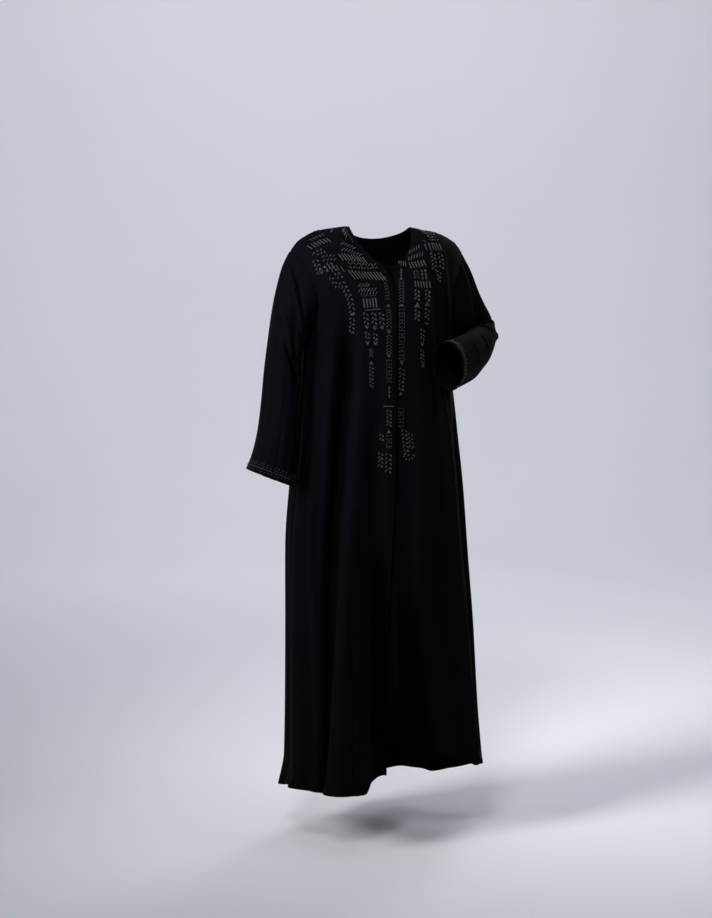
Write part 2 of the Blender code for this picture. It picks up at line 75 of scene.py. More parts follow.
WALL = 0.002  # the solids' wall; the cloth's outside lies on the wall's outside
HEM_WIDTH = 0.014
CUFF_WIDTH = 0.020
NECK_HALF = 0.078
NECK_TOP = 0.010
NECK_FRONT = (-0.079, -0.086)  # (y, z) of the neck edge at the centre front
NECK_BACK = (0.058, -0.014)
NECK_SHARE = 0.42
NECK_SCOOP = 1.3
NECK_FLARE = 0.050
NECK_FLARE_SPREAD = 0.4
UNDERARM_Z = -0.280
BODY_LENGTH = 1.120
SLEEVE_LENGTH = 0.450
PANELS = ("back", "front_right", "front_left")
SLEEVES = ("sleeve_right", "sleeve_left")
ARMHOLE_BULGE = {"front": 0.062, "back": 0.070}
ARMHOLE_INWARD = {"front": 0.022, "back": 0.012}
ARMHOLE_SWAY = (0.35, 1.5)
CHEST_FLATNESS = 0.15
CHEST_REACH = 1.1
SQUARENESS = 0.06
LAP_DEGREES = 10.5
LAP_CLEAR = (1.0, 7.0)
FOLD_START = 0.20
OFF_PANEL_STEP = 3.0
MM = 0.001

def table(kind, *rows):
    """Rows of numbers as rows with named columns."""
    return tuple(kind(*row) for row in rows)


Section = namedtuple("Section", "z right left front back")
SECTIONS = table(
    Section,  # half-widths to each side, and depths to the front and back, at each height
    (-0.280, 0.190, 0.180, 0.124, 0.112),
    (-0.350, 0.194, 0.180, 0.130, 0.112),
    (-0.450, 0.203, 0.189, 0.134, 0.116),
    (-0.600, 0.214, 0.203, 0.144, 0.132),
    (-0.770, 0.224, 0.214, 0.152, 0.148),
    (-0.970, 0.222, 0.232, 0.160, 0.162),
    (-1.180, 0.221, 0.247, 0.170, 0.174),
    (-1.300, 0.222, 0.259, 0.178, 0.182),
    (-1.400, 0.238, 0.270, 0.186, 0.190),
)

Edge = namedtuple("Edge", "z x")
FRONT_EDGE = table(
    Edge,  # where the right front's edge lies on the left front
    (-0.086, -0.022),
    (-0.100, -0.010),
    (-0.122, -0.001),
    (-0.150, 0.002),
    (-0.280, -0.002),
    (-0.500, -0.007),
    (-0.750, -0.021),
    (-1.000, -0.030),
    (-1.350, -0.034),
)

Hem = namedtuple("Hem", "angle z")
HEMS = {
    "front_right": table(
        Hem,
        (-90, -1.362),
        (-60, -1.353),
        (-45, -1.353),
        (-24, -1.349),
        (-20, -1.322),
        (-6, -1.313),
    ),
    "front_left": table(
        Hem,
        (-22, -1.214),
        (-8, -1.222),
        (10, -1.258),
        (30, -1.284),
        (55, -1.310),
        (75, -1.338),
        (90, -1.352),
    ),
    "back": table(
        Hem,
        (90, -1.352),
        (120, -1.385),
        (150, -1.396),
        (180, -1.400),
        (210, -1.398),
        (240, -1.386),
        (270, -1.362),
    ),
}

Shoulder = namedtuple("Shoulder", "share x y z")
SHOULDER_SEAM = table(
    Shoulder,  # from the neck edge to the sleeve
    (0.00, 0.078, 0.000, 0.010),
    (0.45, 0.145, 0.004, 0.001),
    (0.80, 0.199, 0.009, -0.021),
    (1.00, 0.224, 0.012, -0.050),
)

# A fold runs from one height to another; its middle, half-width and depth change evenly between.
# Ridges have a positive depth and valleys a negative one.
Fold = namedtuple("Fold", "name z0 z1 at0 at1 half0 half1 depth0 depth1")
BODY_FOLDS = table(
    Fold,
    ("right side flute", -0.42, -1.36, -76, -76, 14, 15, 0.003, 0.014),
    ("right side line", -0.40, -1.36, -60, -55, 8, 7, 0.007, 0.010),
    ("deep valley", -0.18, -1.36, -36, -51, 13, 6, -0.034, -0.010),
    ("front flute", -0.24, -1.34, -23, -39, 13, 17, 0.007, 0.028),
    ("flute inner ridge", -0.75, -1.34, -25, -26, 6, 6, 0.002, 0.010),
    ("edge hollow", -0.66, -1.34, -13, -13, 10, 11, -0.003, -0.040),
    ("left edge hollow", -0.75, -1.30, 6, 8, 14, 18, -0.003, -0.018),
    ("left side ridge", -0.33, -1.34, 41, 47, 12, 11, 0.008, 0.013),
    ("left side valley", -0.36, -1.34, 58, 62, 12, 12, -0.008, -0.017),
    ("left shoulder fold, outer", -0.02, -0.42, 62, 50, 6, 6, 0.007, 0.002),
    ("left shoulder fold, inner", -0.06, -0.40, 47, 38, 5, 5, 0.005, 0.002),
    ("right chest hollow", -0.10, -0.42, -66, -58, 8, 9, -0.006, -0.004),
    ("back left flute", -0.36, -1.39, 114, 112, 14, 13, 0.004, 0.018),
    ("back left valley", -0.26, -1.39, 135, 133, 13, 11, -0.010, -0.026),
    ("back middle left flute", -0.40, -1.40, 156, 154, 13, 13, 0.005, 0.026),
    ("back middle valley", -0.24, -1.40, 178, 176, 13, 12, -0.008, -0.028),
    ("back middle right flute", -0.36, -1.40, 201, 200, 12, 13, 0.006, 0.024),
    ("back right valley", -0.22, -1.39, 222, 223, 13, 11, -0.012, -0.026),
    ("back right flute", -0.34, -1.38, 243, 244, 12, 12, 0.004, 0.014),
)

# A ring of a sleeve: its share of the way down, the points of its outer line (from the shoulder) and
# its inner line (from the underarm), how far its front is turned round +Z, its half-size across, and
# how far it has changed from the armhole's curve to an oval.
Ring = namedtuple("Ring", "along out_x out_y out_z in_x in_y in_z turn half_side roundness")
SLEEVE_RINGS = {
    "sleeve_right": table(
        Ring,
        (0.00, -0.224, 0.012, -0.050, -0.190, 0.000, -0.280, 0, 0.062, 0.0),
        (0.10, -0.244, 0.010, -0.088, -0.199, 0.000, -0.283, 0, 0.066, 0.2),
        (0.22, -0.263, 0.006, -0.160, -0.203, 0.000, -0.290, 0, 0.072, 0.6),
        (0.36, -0.277, 0.000, -0.250, -0.204, -0.002, -0.312, 0, 0.074, 1.0),
        (0.50, -0.290, -0.005, -0.334, -0.206, -0.006, -0.354, 0, 0.074, 1.0),
        (0.64, -0.299, -0.011, -0.405, -0.214, -0.012, -0.416, 0, 0.073, 1.0),
        (0.78, -0.311, -0.019, -0.476, -0.221, -0.020, -0.494, 0, 0.071, 1.0),
        (0.90, -0.327, -0.026, -0.532, -0.227, -0.026, -0.562, 0, 0.070, 1.0),
        (1.00, -0.344, -0.030, -0.572, -0.232, -0.030, -0.618, 0, 0.069, 1.0),
    ),
    "sleeve_left": table(
        Ring,
        (0.00, 0.224, 0.012, -0.050, 0.180, 0.000, -0.280, 0, 0.062, 0.0),
        (0.10, 0.246, 0.013, -0.088, 0.192, 0.001, -0.285, 0, 0.064, 0.2),
        (0.22, 0.273, 0.017, -0.146, 0.208, 0.015, -0.291, -12, 0.058, 0.6),
        (0.35, 0.302, 0.012, -0.206, 0.244, 0.054, -0.292, -46, 0.041, 1.0),
        (0.48, 0.279, -0.026, -0.226, 0.268, 0.034, -0.310, -86, 0.040, 1.0),
        (0.61, 0.240, -0.054, -0.233, 0.252, -0.020, -0.331, -118, 0.040, 1.0),
        (0.75, 0.202, -0.097, -0.245, 0.218, -0.075, -0.351, -131, 0.034, 1.0),
        (0.88, 0.155, -0.140, -0.257, 0.169, -0.124, -0.367, -134, 0.034, 1.0),
        (1.00, 0.106, -0.184, -0.269, 0.120, -0.168, -0.381, -136, 0.037, 1.0),
    ),
}

# A sleeve's fold: along the sleeve from one share to another, and round it in degrees from the
# outer line towards the front.
SleeveFold = namedtuple("SleeveFold", "name from_ to at0 at1 half depth")
SLEEVE_FOLDS = {
    "sleeve_right": table(
        SleeveFold,
        ("front drag fold", 0.06, 0.62, 62, 112, 20, -0.007),
        ("front ridge", 0.10, 0.90, 38, 78, 20, 0.005),
        ("inner fold", 0.18, 0.95, 150, 150, 24, -0.006),
        ("back drag fold", 0.10, 0.80, 300, 262, 22, -0.006),
        ("cuff wave", 0.70, 1.05, 20, 30, 22, 0.004),
    ),
    "sleeve_left": table(
        SleeveFold,
        ("elbow fold, upper", 0.30, 0.56, 20, 40, 24, -0.006),
        ("elbow fold, middle", 0.36, 0.66, 80, 92, 26, -0.006),
        ("elbow fold, lower", 0.42, 0.72, 150, 140, 22, -0.007),
        ("upper arm ridge", 0.05, 0.36, 56, 40, 20, 0.006),
        ("back of the arm", 0.12, 0.44, 300, 280, 24, 0.004),
        ("forearm hang", 0.56, 1.05, 190, 184, 30, 0.006),
    ),
}


def through(table, key, column, at):
    """A smooth curve through a table's rows, flat past its ends and never past its neighbours."""
    x = np.array([getattr(row, key) for row in table], float)
    y = np.array([getattr(row, column) for row in table], float)
    if x[0] > x[-1]:
        x, y = x[::-1], y[::-1]
    step, rise = np.diff(x), np.diff(y)
    slopes = rise / step
    tangent = np.zeros_like(y)
    same = slopes[:-1] * slopes[1:] > 0
    safe = np.where(same, slopes[:-1] + slopes[1:], 1.0)
    tangent[1:-1] = np.where(same, 2 * slopes[:-1] * slopes[1:] / safe, 0.0)
    at = np.clip(at, x[0], x[-1])
    i = np.clip(np.searchsorted(x, at, side="right") - 1, 0, len(x) - 2)
    u = (at - x[i]) / step[i]
    return (
        y[i] * (1 + 2 * u) * (1 - u) ** 2
        + y[i + 1] * u * u * (3 - 2 * u)
        + step[i] * (tangent[i] * u * (1 - u) ** 2 - tangent[i + 1] * u * u * (1 - u))
    )


def ease(x):
    """0 to 1 with soft ends."""
    x = np.clip(x, 0.0, 1.0)
    return x * x * (3 - 2 * x)


def bump(x):
    """1 in the middle, 0 from -1 and from 1 on."""
    return np.where(np.abs(x) < 1, np.cos(np.clip(x, -1, 1) * np.pi / 2) ** 2, 0.0)


def unit(v):
    return v / np.maximum(np.linalg.norm(v, axis=-1, keepdims=True), 1e-12)


def level(v, normal):
    """The directions turned to lie square to the normals."""
    return unit(v - (v * normal).sum(-1, keepdims=True) * normal)


def sampled(at, knots, points):
    """Points between the points of a line whose knots are known."""
    return np.stack([np.interp(at, knots, points[:, k]) for k in range(3)], -1)


def section(angle, z):
    """The body's cross-section without folds: a soft-cornered oval of the table's sizes."""
    a = np.radians(angle)
    right, left, front, back = (through(SECTIONS, "z", side, z) for side in Section._fields[1:])
    half, deep = np.where(np.sin(a) < 0, right, left), np.where(np.cos(a) > 0, front, back)
    corner = 1 + SQUARENESS * np.sin(2 * a) ** 2
    return np.stack([half * np.sin(a) * corner, -deep * np.cos(a) * corner, z], axis=-1)


def from_centre(panel, angle):
    """(which side, 0 at the panel's centre to 1 at its side seam)."""
    middle, way = (180.0, -1.0) if panel == "back" else (0.0, 1.0)
    return np.where(angle < middle, -way, way), np.abs(angle - middle) / 90.0


def top_edge(panel, angle):
    """The panel's top edge: half the neck edge, then the shoulder seam."""
    side, out = from_centre(panel, angle)
    neck = np.clip(out / NECK_SHARE, 0, 1) * np.pi / 2
    share = np.clip((out - NECK_SHARE) / (1 - NECK_SHARE), 0, 1)
    centre_y, centre_z = NECK_FRONT if panel != "back" else NECK_BACK
    scoop = NECK_TOP + (centre_z - NECK_TOP) * np.cos(neck) ** NECK_SCOOP
    on_neck = np.stack([NECK_HALF * np.sin(neck), centre_y * np.cos(neck), scoop], axis=-1)
    on_shoulder = np.stack([through(SHOULDER_SEAM, "share", c, share) for c in "xyz"], axis=-1)
    p = np.where((out < NECK_SHARE)[..., None], on_neck, on_shoulder)
    p[..., 0] *= side
    return p


def smooth_body(panel, angle, drop):
    """The cloth's middle without folds."""
    angle, drop = np.broadcast_arrays(np.asarray(angle, float), np.asarray(drop, float))
    hem = through(HEMS[panel], "angle", "z", angle)
    low = section(angle, UNDERARM_Z + (hem - UNDERARM_Z) * np.maximum(drop - 1, 0))
    side, out = from_centre(panel, angle)
    top, underarm = top_edge(panel, angle), section(angle, np.full(angle.shape, UNDERARM_Z))
    s = np.clip(drop, 0, 1)
    turn = s * np.pi / 2
    steep = CHEST_FLATNESS + (1 - CHEST_FLATNESS) * ease(out / NECK_SHARE)
    sway_from, sway_low = ARMHOLE_SWAY
    sway = np.sin(np.pi * s**sway_low) * ease((out - sway_from) / (1 - sway_from))
    forward = -1.0 if panel != "back" else 1.0
    kind = "back" if panel == "back" else "front"
    down = steep * (1 - np.cos(turn)) + (1 - steep) * s
    beside_neck = bump((out - NECK_SHARE) / NECK_FLARE_SPREAD)
    flare = NECK_FLARE * beside_neck * np.sin(np.pi * s) * (1 - s)
    share = np.stack([ease(s), np.sin(turn) ** CHEST_REACH, down], axis=-1)
    aside, ahead = side * (flare - ARMHOLE_INWARD[kind] * sway), forward * ARMHOLE_BULGE[kind] * sway
    cap = top + (underarm - top) * share + np.stack([aside, ahead, np.zeros_like(s)], axis=-1)
    return np.where((drop < 1)[..., None], cap, low)


PROBE_TURN = 0.3  # small steps that show how the cloth runs: in degrees and in drop
PROBE_DROP = 0.004


def outward(surface, angle, drop):
    """The side of a surface that faces away from the body, from small steps that stay on it."""
    across = surface(angle + PROBE_TURN, drop) - surface(angle - PROBE_TURN, drop)
    below, above = np.minimum(drop + PROBE_DROP, 2.0), np.maximum(drop - PROBE_DROP, 0.0)
    return unit(np.cross(surface(angle, below) - surface(angle, above), across))


def away_from(middle, angle):
    """How far an angle lies from another, from -180 to 180."""
    return (angle - middle + 180.0) % 360.0 - 180.0


def fold_depth(angle, z):
    total = np.zeros(np.broadcast(angle, z).shape)
    for f in BODY_FOLDS:
        share = np.clip((f.z0 - z) / (f.z0 - f.z1), 0, 1)
        middle = f.at0 + (f.at1 - f.at0) * share
        half = f.half0 + (f.half1 - f.half0) * share
        depth = f.depth0 + (f.depth1 - f.depth0) * share
        away = away_from(middle, angle)
        total += bump(away / half) * depth * ease((f.z0 - z) / FOLD_START)
    return total


# ---------------------------------------------------------------------------------------------
# Creases, placed one by one. On the body x is the angle round it and y the height; on a sleeve x is
# the angle round it, from the outer line towards the front, and y the share of the way down. A
# crease runs from (x0, y0) to (x1, y1), bows sideways, falls off to its left and right over the
# given widths, changes its depth evenly (a ridge is positive, a trough negative) and fades at its
# ends over a share of its length. Widths, bows and depths are in millimetres.

Crease = namedtuple("Crease", "name x0 y0 x1 y1 bow left right depth0 depth1 fade0 fade1")
DEGREE_ON_BODY = 0.0033  # metres of cloth for a degree round the body
DEGREE_ON_SLEEVE = 0.00105
FRONT_CREASES = table(
    Crease,
    ("flute ridge", -27, -0.30, -51, -1.42, 12, 10, 34, 3.6, 7.5, 0.25, 0.0),
    ("valley wall", -32, -0.34, -54.5, -1.42, 12, 26, 10, -4.0, -7.0, 0.25, 0.0),
    ("valley floor", -39, -0.18, -47, -0.95, 5, 22, 16, -3.0, -4.0, 0.3, 0.3),
    ("side panel edge", -60, -0.42, -57.5, -1.42, 5, 26, 10, 3.5, 5.5, 0.2, 0.0),
    ("side panel line", -76, -0.66, -68, -1.42, 9, 26, 30, 0.6, 1.8, 0.4, 0.0),
    ("side panel trough", -68, -0.66, -63.5, -1.42, -7, 20, 12, -0.8, -2.0, 0.4, 0.0),
    ("flute inner line", -26, -0.86, -28.5, -1.42, -2, 11, 8, 2.0, 4.5, 0.3, 0.0),
    ("flute middle line", -33, -0.66, -40, -1.42, 3, 10, 12, 0.8, 2.0, 0.3, 0.0),
    ("edge line", -11, -0.40, -10.5, -1.42, 1, 10, 6, -0.8, -3.0, 0.3, 0.0),
    ("right chest drag, upper", -76, -0.06, -62, -0.30, 8, 12, 16, -2.4, -1.2, 0.3, 0.4),
    ("right chest drag, lower", -84, -0.15, -66, -0.42, 6, 12, 12, -2.6, -1.6, 0.3, 0.3),
    ("right chest ridge", -70, -0.10, -58, -0.44, 6, 12, 14, 2.0, 1.2, 0.3, 0.4),
    ("right bust line", -44, -0.14, -40, -0.40, 3, 14, 14, 1.4, 1.0, 0.4, 0.4),
    ("left side ridge", 41.5, -0.26, 48, -1.42, -4, 26, 8, 3.4, 7.0, 0.2, 0.0),
    ("left side wall", 46, -0.30, 53.5, -1.42, -4, 8, 26, -3.6, -7.0, 0.2, 0.0),
    ("left strip line", 68, -0.46, 71, -1.42, 5, 16, 12, 1.8, 4.0, 0.3, 0.0),
    ("left strip trough", 81, -0.62, 79, -1.42, -6, 18, 14, -1.6, -3.6, 0.35, 0.0),
    ("left shoulder line, outer", 66, -0.012, 47, -0.42, -5, 13, 8, 3.4, 2.2, 0.12, 0.35),
    ("left shoulder trough", 60, -0.05, 42, -0.42, -5, 10, 9, -2.2, -2.0, 0.25, 0.3),
    ("left shoulder line, inner", 24, -0.062, 39, -0.44, 5, 13, 8, 6.0, 3.6, 0.2, 0.35),
    ("left inner trough", 34, -0.13, 43.5, -0.42, 4, 8, 7, -2.4, -2.2, 0.3, 0.3),
    ("left short line", 34, -0.20, 34, -0.42, 0, 7, 6, 1.8, 1.2, 0.3, 0.4),
    ("left front slack", 24, -0.44, 27, -1.20, 5, 26, 30, -1.6, -2.6, 0.3, 0.3),
    ("left front soft line", 15, -0.50, 17, -1.40, -4, 22, 20, 1.0, 2.4, 0.3, 0.1),
    ("left front low line", 34, -0.92, 38, -1.42, 4, 14, 12, 1.4, 2.6, 0.4, 0.0),
    ("left hem drag", 5, -1.02, 20, -1.30, -8, 18, 14, -1.8, -3.0, 0.3, 0.2),
)
BACK_CREASES = table(
    Crease,
    ("left flute line", 114, -0.40, 111, -1.45, 3, 24, 14, 2.5, 5.0, 0.25, 0.0),
    ("left valley line", 128, -0.34, 126, -1.45, -3, 12, 16, -2.5, -5.0, 0.25, 0.0),
    ("middle left line", 155, -0.46, 151, -1.45, 4, 13, 26, 2.5, 5.0, 0.25, 0.0),
    ("middle left trough", 165, -0.52, 164, -1.45, -3, 12, 12, -2.0, -4.0, 0.3, 0.0),
    ("middle right line", 203, -0.44, 205, -1.45, -4, 26, 12, 2.5, 5.5, 0.25, 0.0),
    ("middle right trough", 193, -0.60, 190, -1.45, 2, 12, 14, -1.8, -4.0, 0.3, 0.0),
    ("right flute line", 240, -0.42, 248, -1.45, -9, 30, 44, 1.4, 3.4, 0.3, 0.0),
    ("right valley line", 231, -0.36, 233, -1.45, 4, 16, 10, -2.5, -5.0, 0.25, 0.0),
    ("left side line", 102, -0.64, 98, -1.45, 6, 18, 24, 1.2, 3.2, 0.4, 0.0),
    ("right side line", 256, -0.80, 264, -1.45, 9, 34, 26, 0.6, 2.2, 0.4, 0.0),
    ("left shoulder blade", 112, -0.05, 138, -0.36, 8, 16, 20, 2.6, 1.2, 0.25, 0.4),
    ("left blade trough", 104, -0.08, 126, -0.38, 8, 12, 14, -2.6, -1.6, 0.25, 0.3),
    ("right shoulder blade", 250, -0.06, 224, -0.40, -7, 18, 15, 2.4, 1.4, 0.25, 0.4),
    ("right blade trough", 258, -0.10, 238, -0.36, -6, 13, 12, -2.8, -1.4, 0.25, 0.3),
    ("back neck drag, left", 152, -0.03, 160, -0.24, 4, 14, 12, -1.4, -0.8, 0.3, 0.5),
    ("back neck drag, right", 210, -0.03, 201, -0.27, -4, 12, 15, -1.6, -0.8, 0.3, 0.5),
    ("small of the back", 176, -0.30, 186, -0.58, 7, 18, 20, -1.8, -1.2, 0.4, 0.4),
)
SLEEVE_CREASES = {
    "sleeve_right": table(
        Crease,
        ("upper drag", 14, 0.05, 128, 0.24, 6, 9, 12, -6.0, -5.0, 0.25, 0.2),
        ("upper drag ridge", 34, 0.09, 140, 0.33, 6, 11, 9, 3.0, 3.0, 0.3, 0.25),
        ("lower drag", 6, 0.24, 128, 0.62, 9, 11, 15, -6.5, -6.0, 0.25, 0.25),
        ("lower drag ridge", 20, 0.22, 112, 0.46, 7, 12, 10, 3.2, 2.6, 0.3, 0.3),
        ("small drag", 60, 0.30, 134, 0.47, -4, 7, 8, -3.0, -2.5, 0.3, 0.3),
        ("outer long line", 344, 0.18, 352, 0.92, 4, 12, 14, 1.4, 1.8, 0.3, 0.3),
        ("outer trough", 12, 0.40, 26, 0.97, -4, 13, 12, -1.6, -2.4, 0.4, 0.1),
        ("front long line", 46, 0.48, 50, 1.05, 3, 11, 14, 1.8, 3.4, 0.3, 0.0),
        ("front trough", 76, 0.55, 80, 1.05, -3, 12, 10, -2.0, -4.0, 0.3, 0.0),
        ("cuff inner ridge", 112, 0.66, 106, 1.05, 2, 10, 10, 2.0, 3.6, 0.4, 0.0),
        ("cuff back ridge", 240, 0.60, 236, 1.05, 2, 13, 14, 2.0, 3.6, 0.4, 0.0),
        ("cuff back trough", 268, 0.62, 272, 1.05, 3, 12, 12, -1.8, -3.4, 0.4, 0.0),
        ("back drag, upper", 340, 0.07, 232, 0.30, -6, 12, 11, -5.0, -4.0, 0.25, 0.25),
        ("back drag ridge", 326, 0.13, 222, 0.40, -6, 10, 12, 2.8, 2.6, 0.3, 0.3),
        ("back drag, lower", 318, 0.34, 226, 0.66, -7, 13, 12, -4.5, -4.0, 0.3, 0.3),
        ("cap ease, front", 58, 0.00, 40, 0.20, 2, 7, 7, 1.4, 0.8, 0.1, 0.5),
        ("cap ease, back", 300, 0.00, 318, 0.18, -2, 7, 7, 1.4, 0.8, 0.1, 0.5),
    ),
    "sleeve_left": table(
        Crease,
        ("cap long ridge", 48, 0.00, 96, 0.26, 3, 10, 8, 3.6, 3.0, 0.12, 0.3),
        ("cap trough", 34, 0.02, 80, 0.30, 3, 10, 9, -3.8, -3.6, 0.15, 0.3),
        ("cap second ridge", 20, 0.02, 52, 0.32, 2, 8, 9, 3.2, 2.6, 0.2, 0.3),
        ("upper arm trough", 12, 0.14, 66, 0.42, -5, 10, 10, -4.4, -5.0, 0.3, 0.2),
        ("upper arm flat", 350, 0.12, 18, 0.40, -3, 10, 10, 2.6, 2.0, 0.3, 0.3),
        ("elbow pinch", 84, 0.47, -62, 0.475, -9, 8, 9, -7.0, -5.0, 0.12, 0.15),
        ("above the pinch", 60, 0.42, -50, 0.425, -7, 9, 8, 4.0, 3.6, 0.25, 0.25),
        ("below the pinch", 70, 0.54, -54, 0.53, -9, 8, 10, 3.6, 4.2, 0.25, 0.25),
        ("elbow ray, upper", 20, 0.40, -56, 0.33, -6, 8, 9, -3.0, -2.4, 0.3, 0.3),
        ("elbow ray, lower", 40, 0.60, -50, 0.57, 5, 8, 8, -2.6, -2.2, 0.3, 0.3),
        ("elbow tip", -64, 0.44, -84, 0.52, 2, 12, 12, 6.0, 5.0, 0.35, 0.35),
        ("forearm ray", 300, 0.60, 262, 0.80, 3, 9, 9, -2.2, -1.8, 0.3, 0.3),
        ("forearm upright, near", 330, 0.74, 262, 0.70, 4, 8, 9, -2.2, -2.2, 0.3, 0.3),
        ("forearm upright, far", 324, 0.84, 250, 0.82, 3, 8, 8, 1.6, 1.8, 0.3, 0.3),
        ("forearm under drag", 150, 0.60, 226, 0.66, 3, 10, 10, -3.0, -2.6, 0.3, 0.3),
        ("crook, upper", 112, 0.30, 176, 0.24, 2, 8, 8, -3.6, -3.0, 0.3, 0.3),
        ("crook, lower", 116, 0.54, 186, 0.60, 2, 8, 8, -3.0, -2.6, 0.3, 0.3),
        ("back of the arm", 300, 0.04, 268, 0.36, 3, 12, 14, -3.4, -3.0, 0.25, 0.3),
        ("back of the arm ridge", 322, 0.06, 292, 0.38, 3, 11, 12, 2.6, 3.0, 0.25, 0.3),
        ("cuff dip", 206, 0.80, 204, 1.05, 2, 12, 12, -2.0, -3.2, 0.4, 0.0),
        ("cuff ridge", 246, 0.80, 244, 1.05, 2, 10, 12, 1.6, 2.8, 0.4, 0.0),
    ),
}


def crease_depth(creases, x, y, metres_per_degree, metres_per_y):
    """The depth of all creases at points (x, y), in metres."""
    total = np.zeros(np.broadcast(x, y).shape)
    for c in creases:
        middle = (c.x0 + c.x1) / 2
        turned = away_from(middle, x)
        start = np.array([(c.x0 - middle) * metres_per_degree, c.y0 * metres_per_y])
        step = np.array([(c.x1 - c.x0) * metres_per_degree, (c.y1 - c.y0) * metres_per_y])
        length = np.linalg.norm(step)
        way = step / length
        off_x, off_y = turned * metres_per_degree - start[0], y * metres_per_y - start[1]
        share = np.clip((off_x * way[0] + off_y * way[1]) / length, 0, 1)
        past = np.hypot(off_x - share * step[0], off_y - share * step[1])
        side = off_x * way[1] - off_y * way[0]
        side = np.where(np.abs(side) < past, np.sign(side) * past, side)
        side = side - np.sign(way[1] or 1) * c.bow * MM * 4 * share * (1 - share)
        left, right = (c.left, c.right) if way[1] > 0 else (c.right, c.left)
        fall = np.where(side < 0, left, right) * MM
        depth = (c.depth0 + (c.depth1 - c.depth0) * share) * MM
        if c.fade0:
            depth = depth * ease(share / c.fade0)
        if c.fade1:
            depth = depth * ease((1 - share) / c.fade1)
        total += bump(side / fall) * depth
    return total


# ---------------------------------------------------------------------------------------------
# The cloth of the body

Wave = namedtuple("Wave", "crests lean phase depth")
SLACK_SEED = 11
SLACK_WAVES = 26
SLACK_DEPTH = 0.0012
SLACK_CRESTS = (6, 24)  # the fewest crests round the body, and one more than the most
SLACK_LEAN = 3.5
SLACK_ABOVE = 0.25  # the share of the slack that is left above SLACK_FROM
SLACK_FROM = -0.25
SLACK_GROWS = 0.6


def slack_waves():
    """Faint long waves all round the skirt, so that no stretch of it hangs quite flat."""
    draw = np.random.default_rng(SLACK_SEED)
    for _ in range(SLACK_WAVES):
        crests = int(draw.integers(*SLACK_CRESTS))
        lean, phase = draw.uniform(-SLACK_LEAN, SLACK_LEAN), draw.uniform(0, 2 * np.pi)
        yield Wave(crests, lean, phase, SLACK_DEPTH * 9 / crests)


SLACK = tuple(slack_waves())


def slack(angle, z):
    total = np.zeros(np.broadcast(angle, z).shape)
    a = np.radians(angle)
    for w in SLACK:
        total += w.depth * np.cos(w.crests * a + w.lean * z + w.phase)
    return total * (SLACK_ABOVE + (1 - SLACK_ABOVE) * ease((SLACK_FROM - z) / SLACK_GROWS))


BODY_CREASES = FRONT_CREASES + BACK_CREASES


def creased(panel, angle, drop):
    """The cloth's middle with its folds and its creases."""
    p = smooth_body(panel, angle, drop)
    n = outward(lambda a, d: smooth_body(panel, a, d), angle, drop)
    z = p[..., 2]
    relief = fold_depth(angle, z) + slack(angle, z)
    relief = relief + crease_depth(BODY_CREASES, angle, z, DEGREE_ON_BODY, 1.0)
    return p + n * relief[..., None]


def cloth_normal(panel, angle, drop):
    """The outward direction of the creased cloth; two panels share one along their seam."""
    def own(which, a):
        return outward(lambda t, d: creased(which, t, d), a, drop)

    normal = own(panel, angle)
    _, out = from_centre(panel, angle)
    at_seam = (out >= 1 - 1e-6) | ((drop <= 0) & (out >= NECK_SHARE - 1e-6))
    if panel == "back":
        over = (360.0 - angle) % 360.0 - 180.0
        there = np.where((angle > 180)[..., None], own("front_right", over), own("front_left", over))
    else:
        there = own("back", (180.0 - angle) % 360.0)
    return np.where(at_seam[..., None], unit(normal + there), normal)


def edge_angle(panel, rows):
    """The angle of the right front's edge at each drop."""
    z = smooth_body(panel, np.zeros_like(rows), rows)[..., 2]
    half = np.where(rows < 1, NECK_HALF + (SECTIONS[0].right - NECK_HALF) * ease(rows), 0.0)
    half = np.where(rows < 1, half, through(SECTIONS, "z", "right", z))
    turn = np.degrees(np.arcsin(through(FRONT_EDGE, "z", "x", z) / half))
    return turn * (NECK_SHARE + (1 - NECK_SHARE) * ease(rows))


# Distances from an edge, in metres, where rows or columns stand close for its rim and its stitching.
NEAR_EDGE = np.array([0.0, 0.0003, 0.0012, 0.003, 0.0055, 0.0078, 0.0088, 0.0098, 0.0112, 0.0140])
NEAR_HEM = np.array([0.0, 0.0003, 0.0012, 0.004, 0.008, 0.0108, 0.0118, 0.0130, 0.0142, 0.0158, 0.020])
NEAR_CUFF = np.array([0.0, 0.0003, 0.0012, 0.005, 0.011, 0.0158, 0.0172, 0.0184, 0.0196, 0.0214, 0.026])
CAP_LENGTH = 0.25  # from the neck or shoulder to the underarm, roughly
CAP_ROWS = 34
SKIRT_ROWS = 128
SIDE_COLUMNS = 50
NECK_COLUMNS = 34
BACK_NECK_COLUMNS = 76
SLEEVE_ROWS = 98
SLEEVE_COLUMNS = 116


LENGTH_STEPS = 25


def column_length(panel, angle, low, high):
    drop, angle = np.meshgrid(np.linspace(low, high, LENGTH_STEPS), angle, indexing="ij")
    return np.linalg.norm(np.diff(smooth_body(panel, angle, drop), axis=0), axis=2).sum(axis=0)


def metres_a_degree(panel, angle, rows):
    """The cloth's width at a degree of each row."""
    beside = smooth_body(panel, angle + 0.5, rows) - smooth_body(panel, angle - 0.5, rows)
    return np.linalg.norm(beside, axis=1)


def panel_rows():
    """The rows' nominal drops, before each column's own length counts."""
    top = NEAR_EDGE / CAP_LENGTH
    cap = np.linspace(top[-1], 1.0, CAP_ROWS + 1)[1:]
    hem = 2.0 - NEAR_HEM[::-1] / BODY_LENGTH
    skirt = np.linspace(1.0, hem[0], SKIRT_ROWS + 1)[1:-1]
    return np.concatenate([top, cap, skirt, hem])


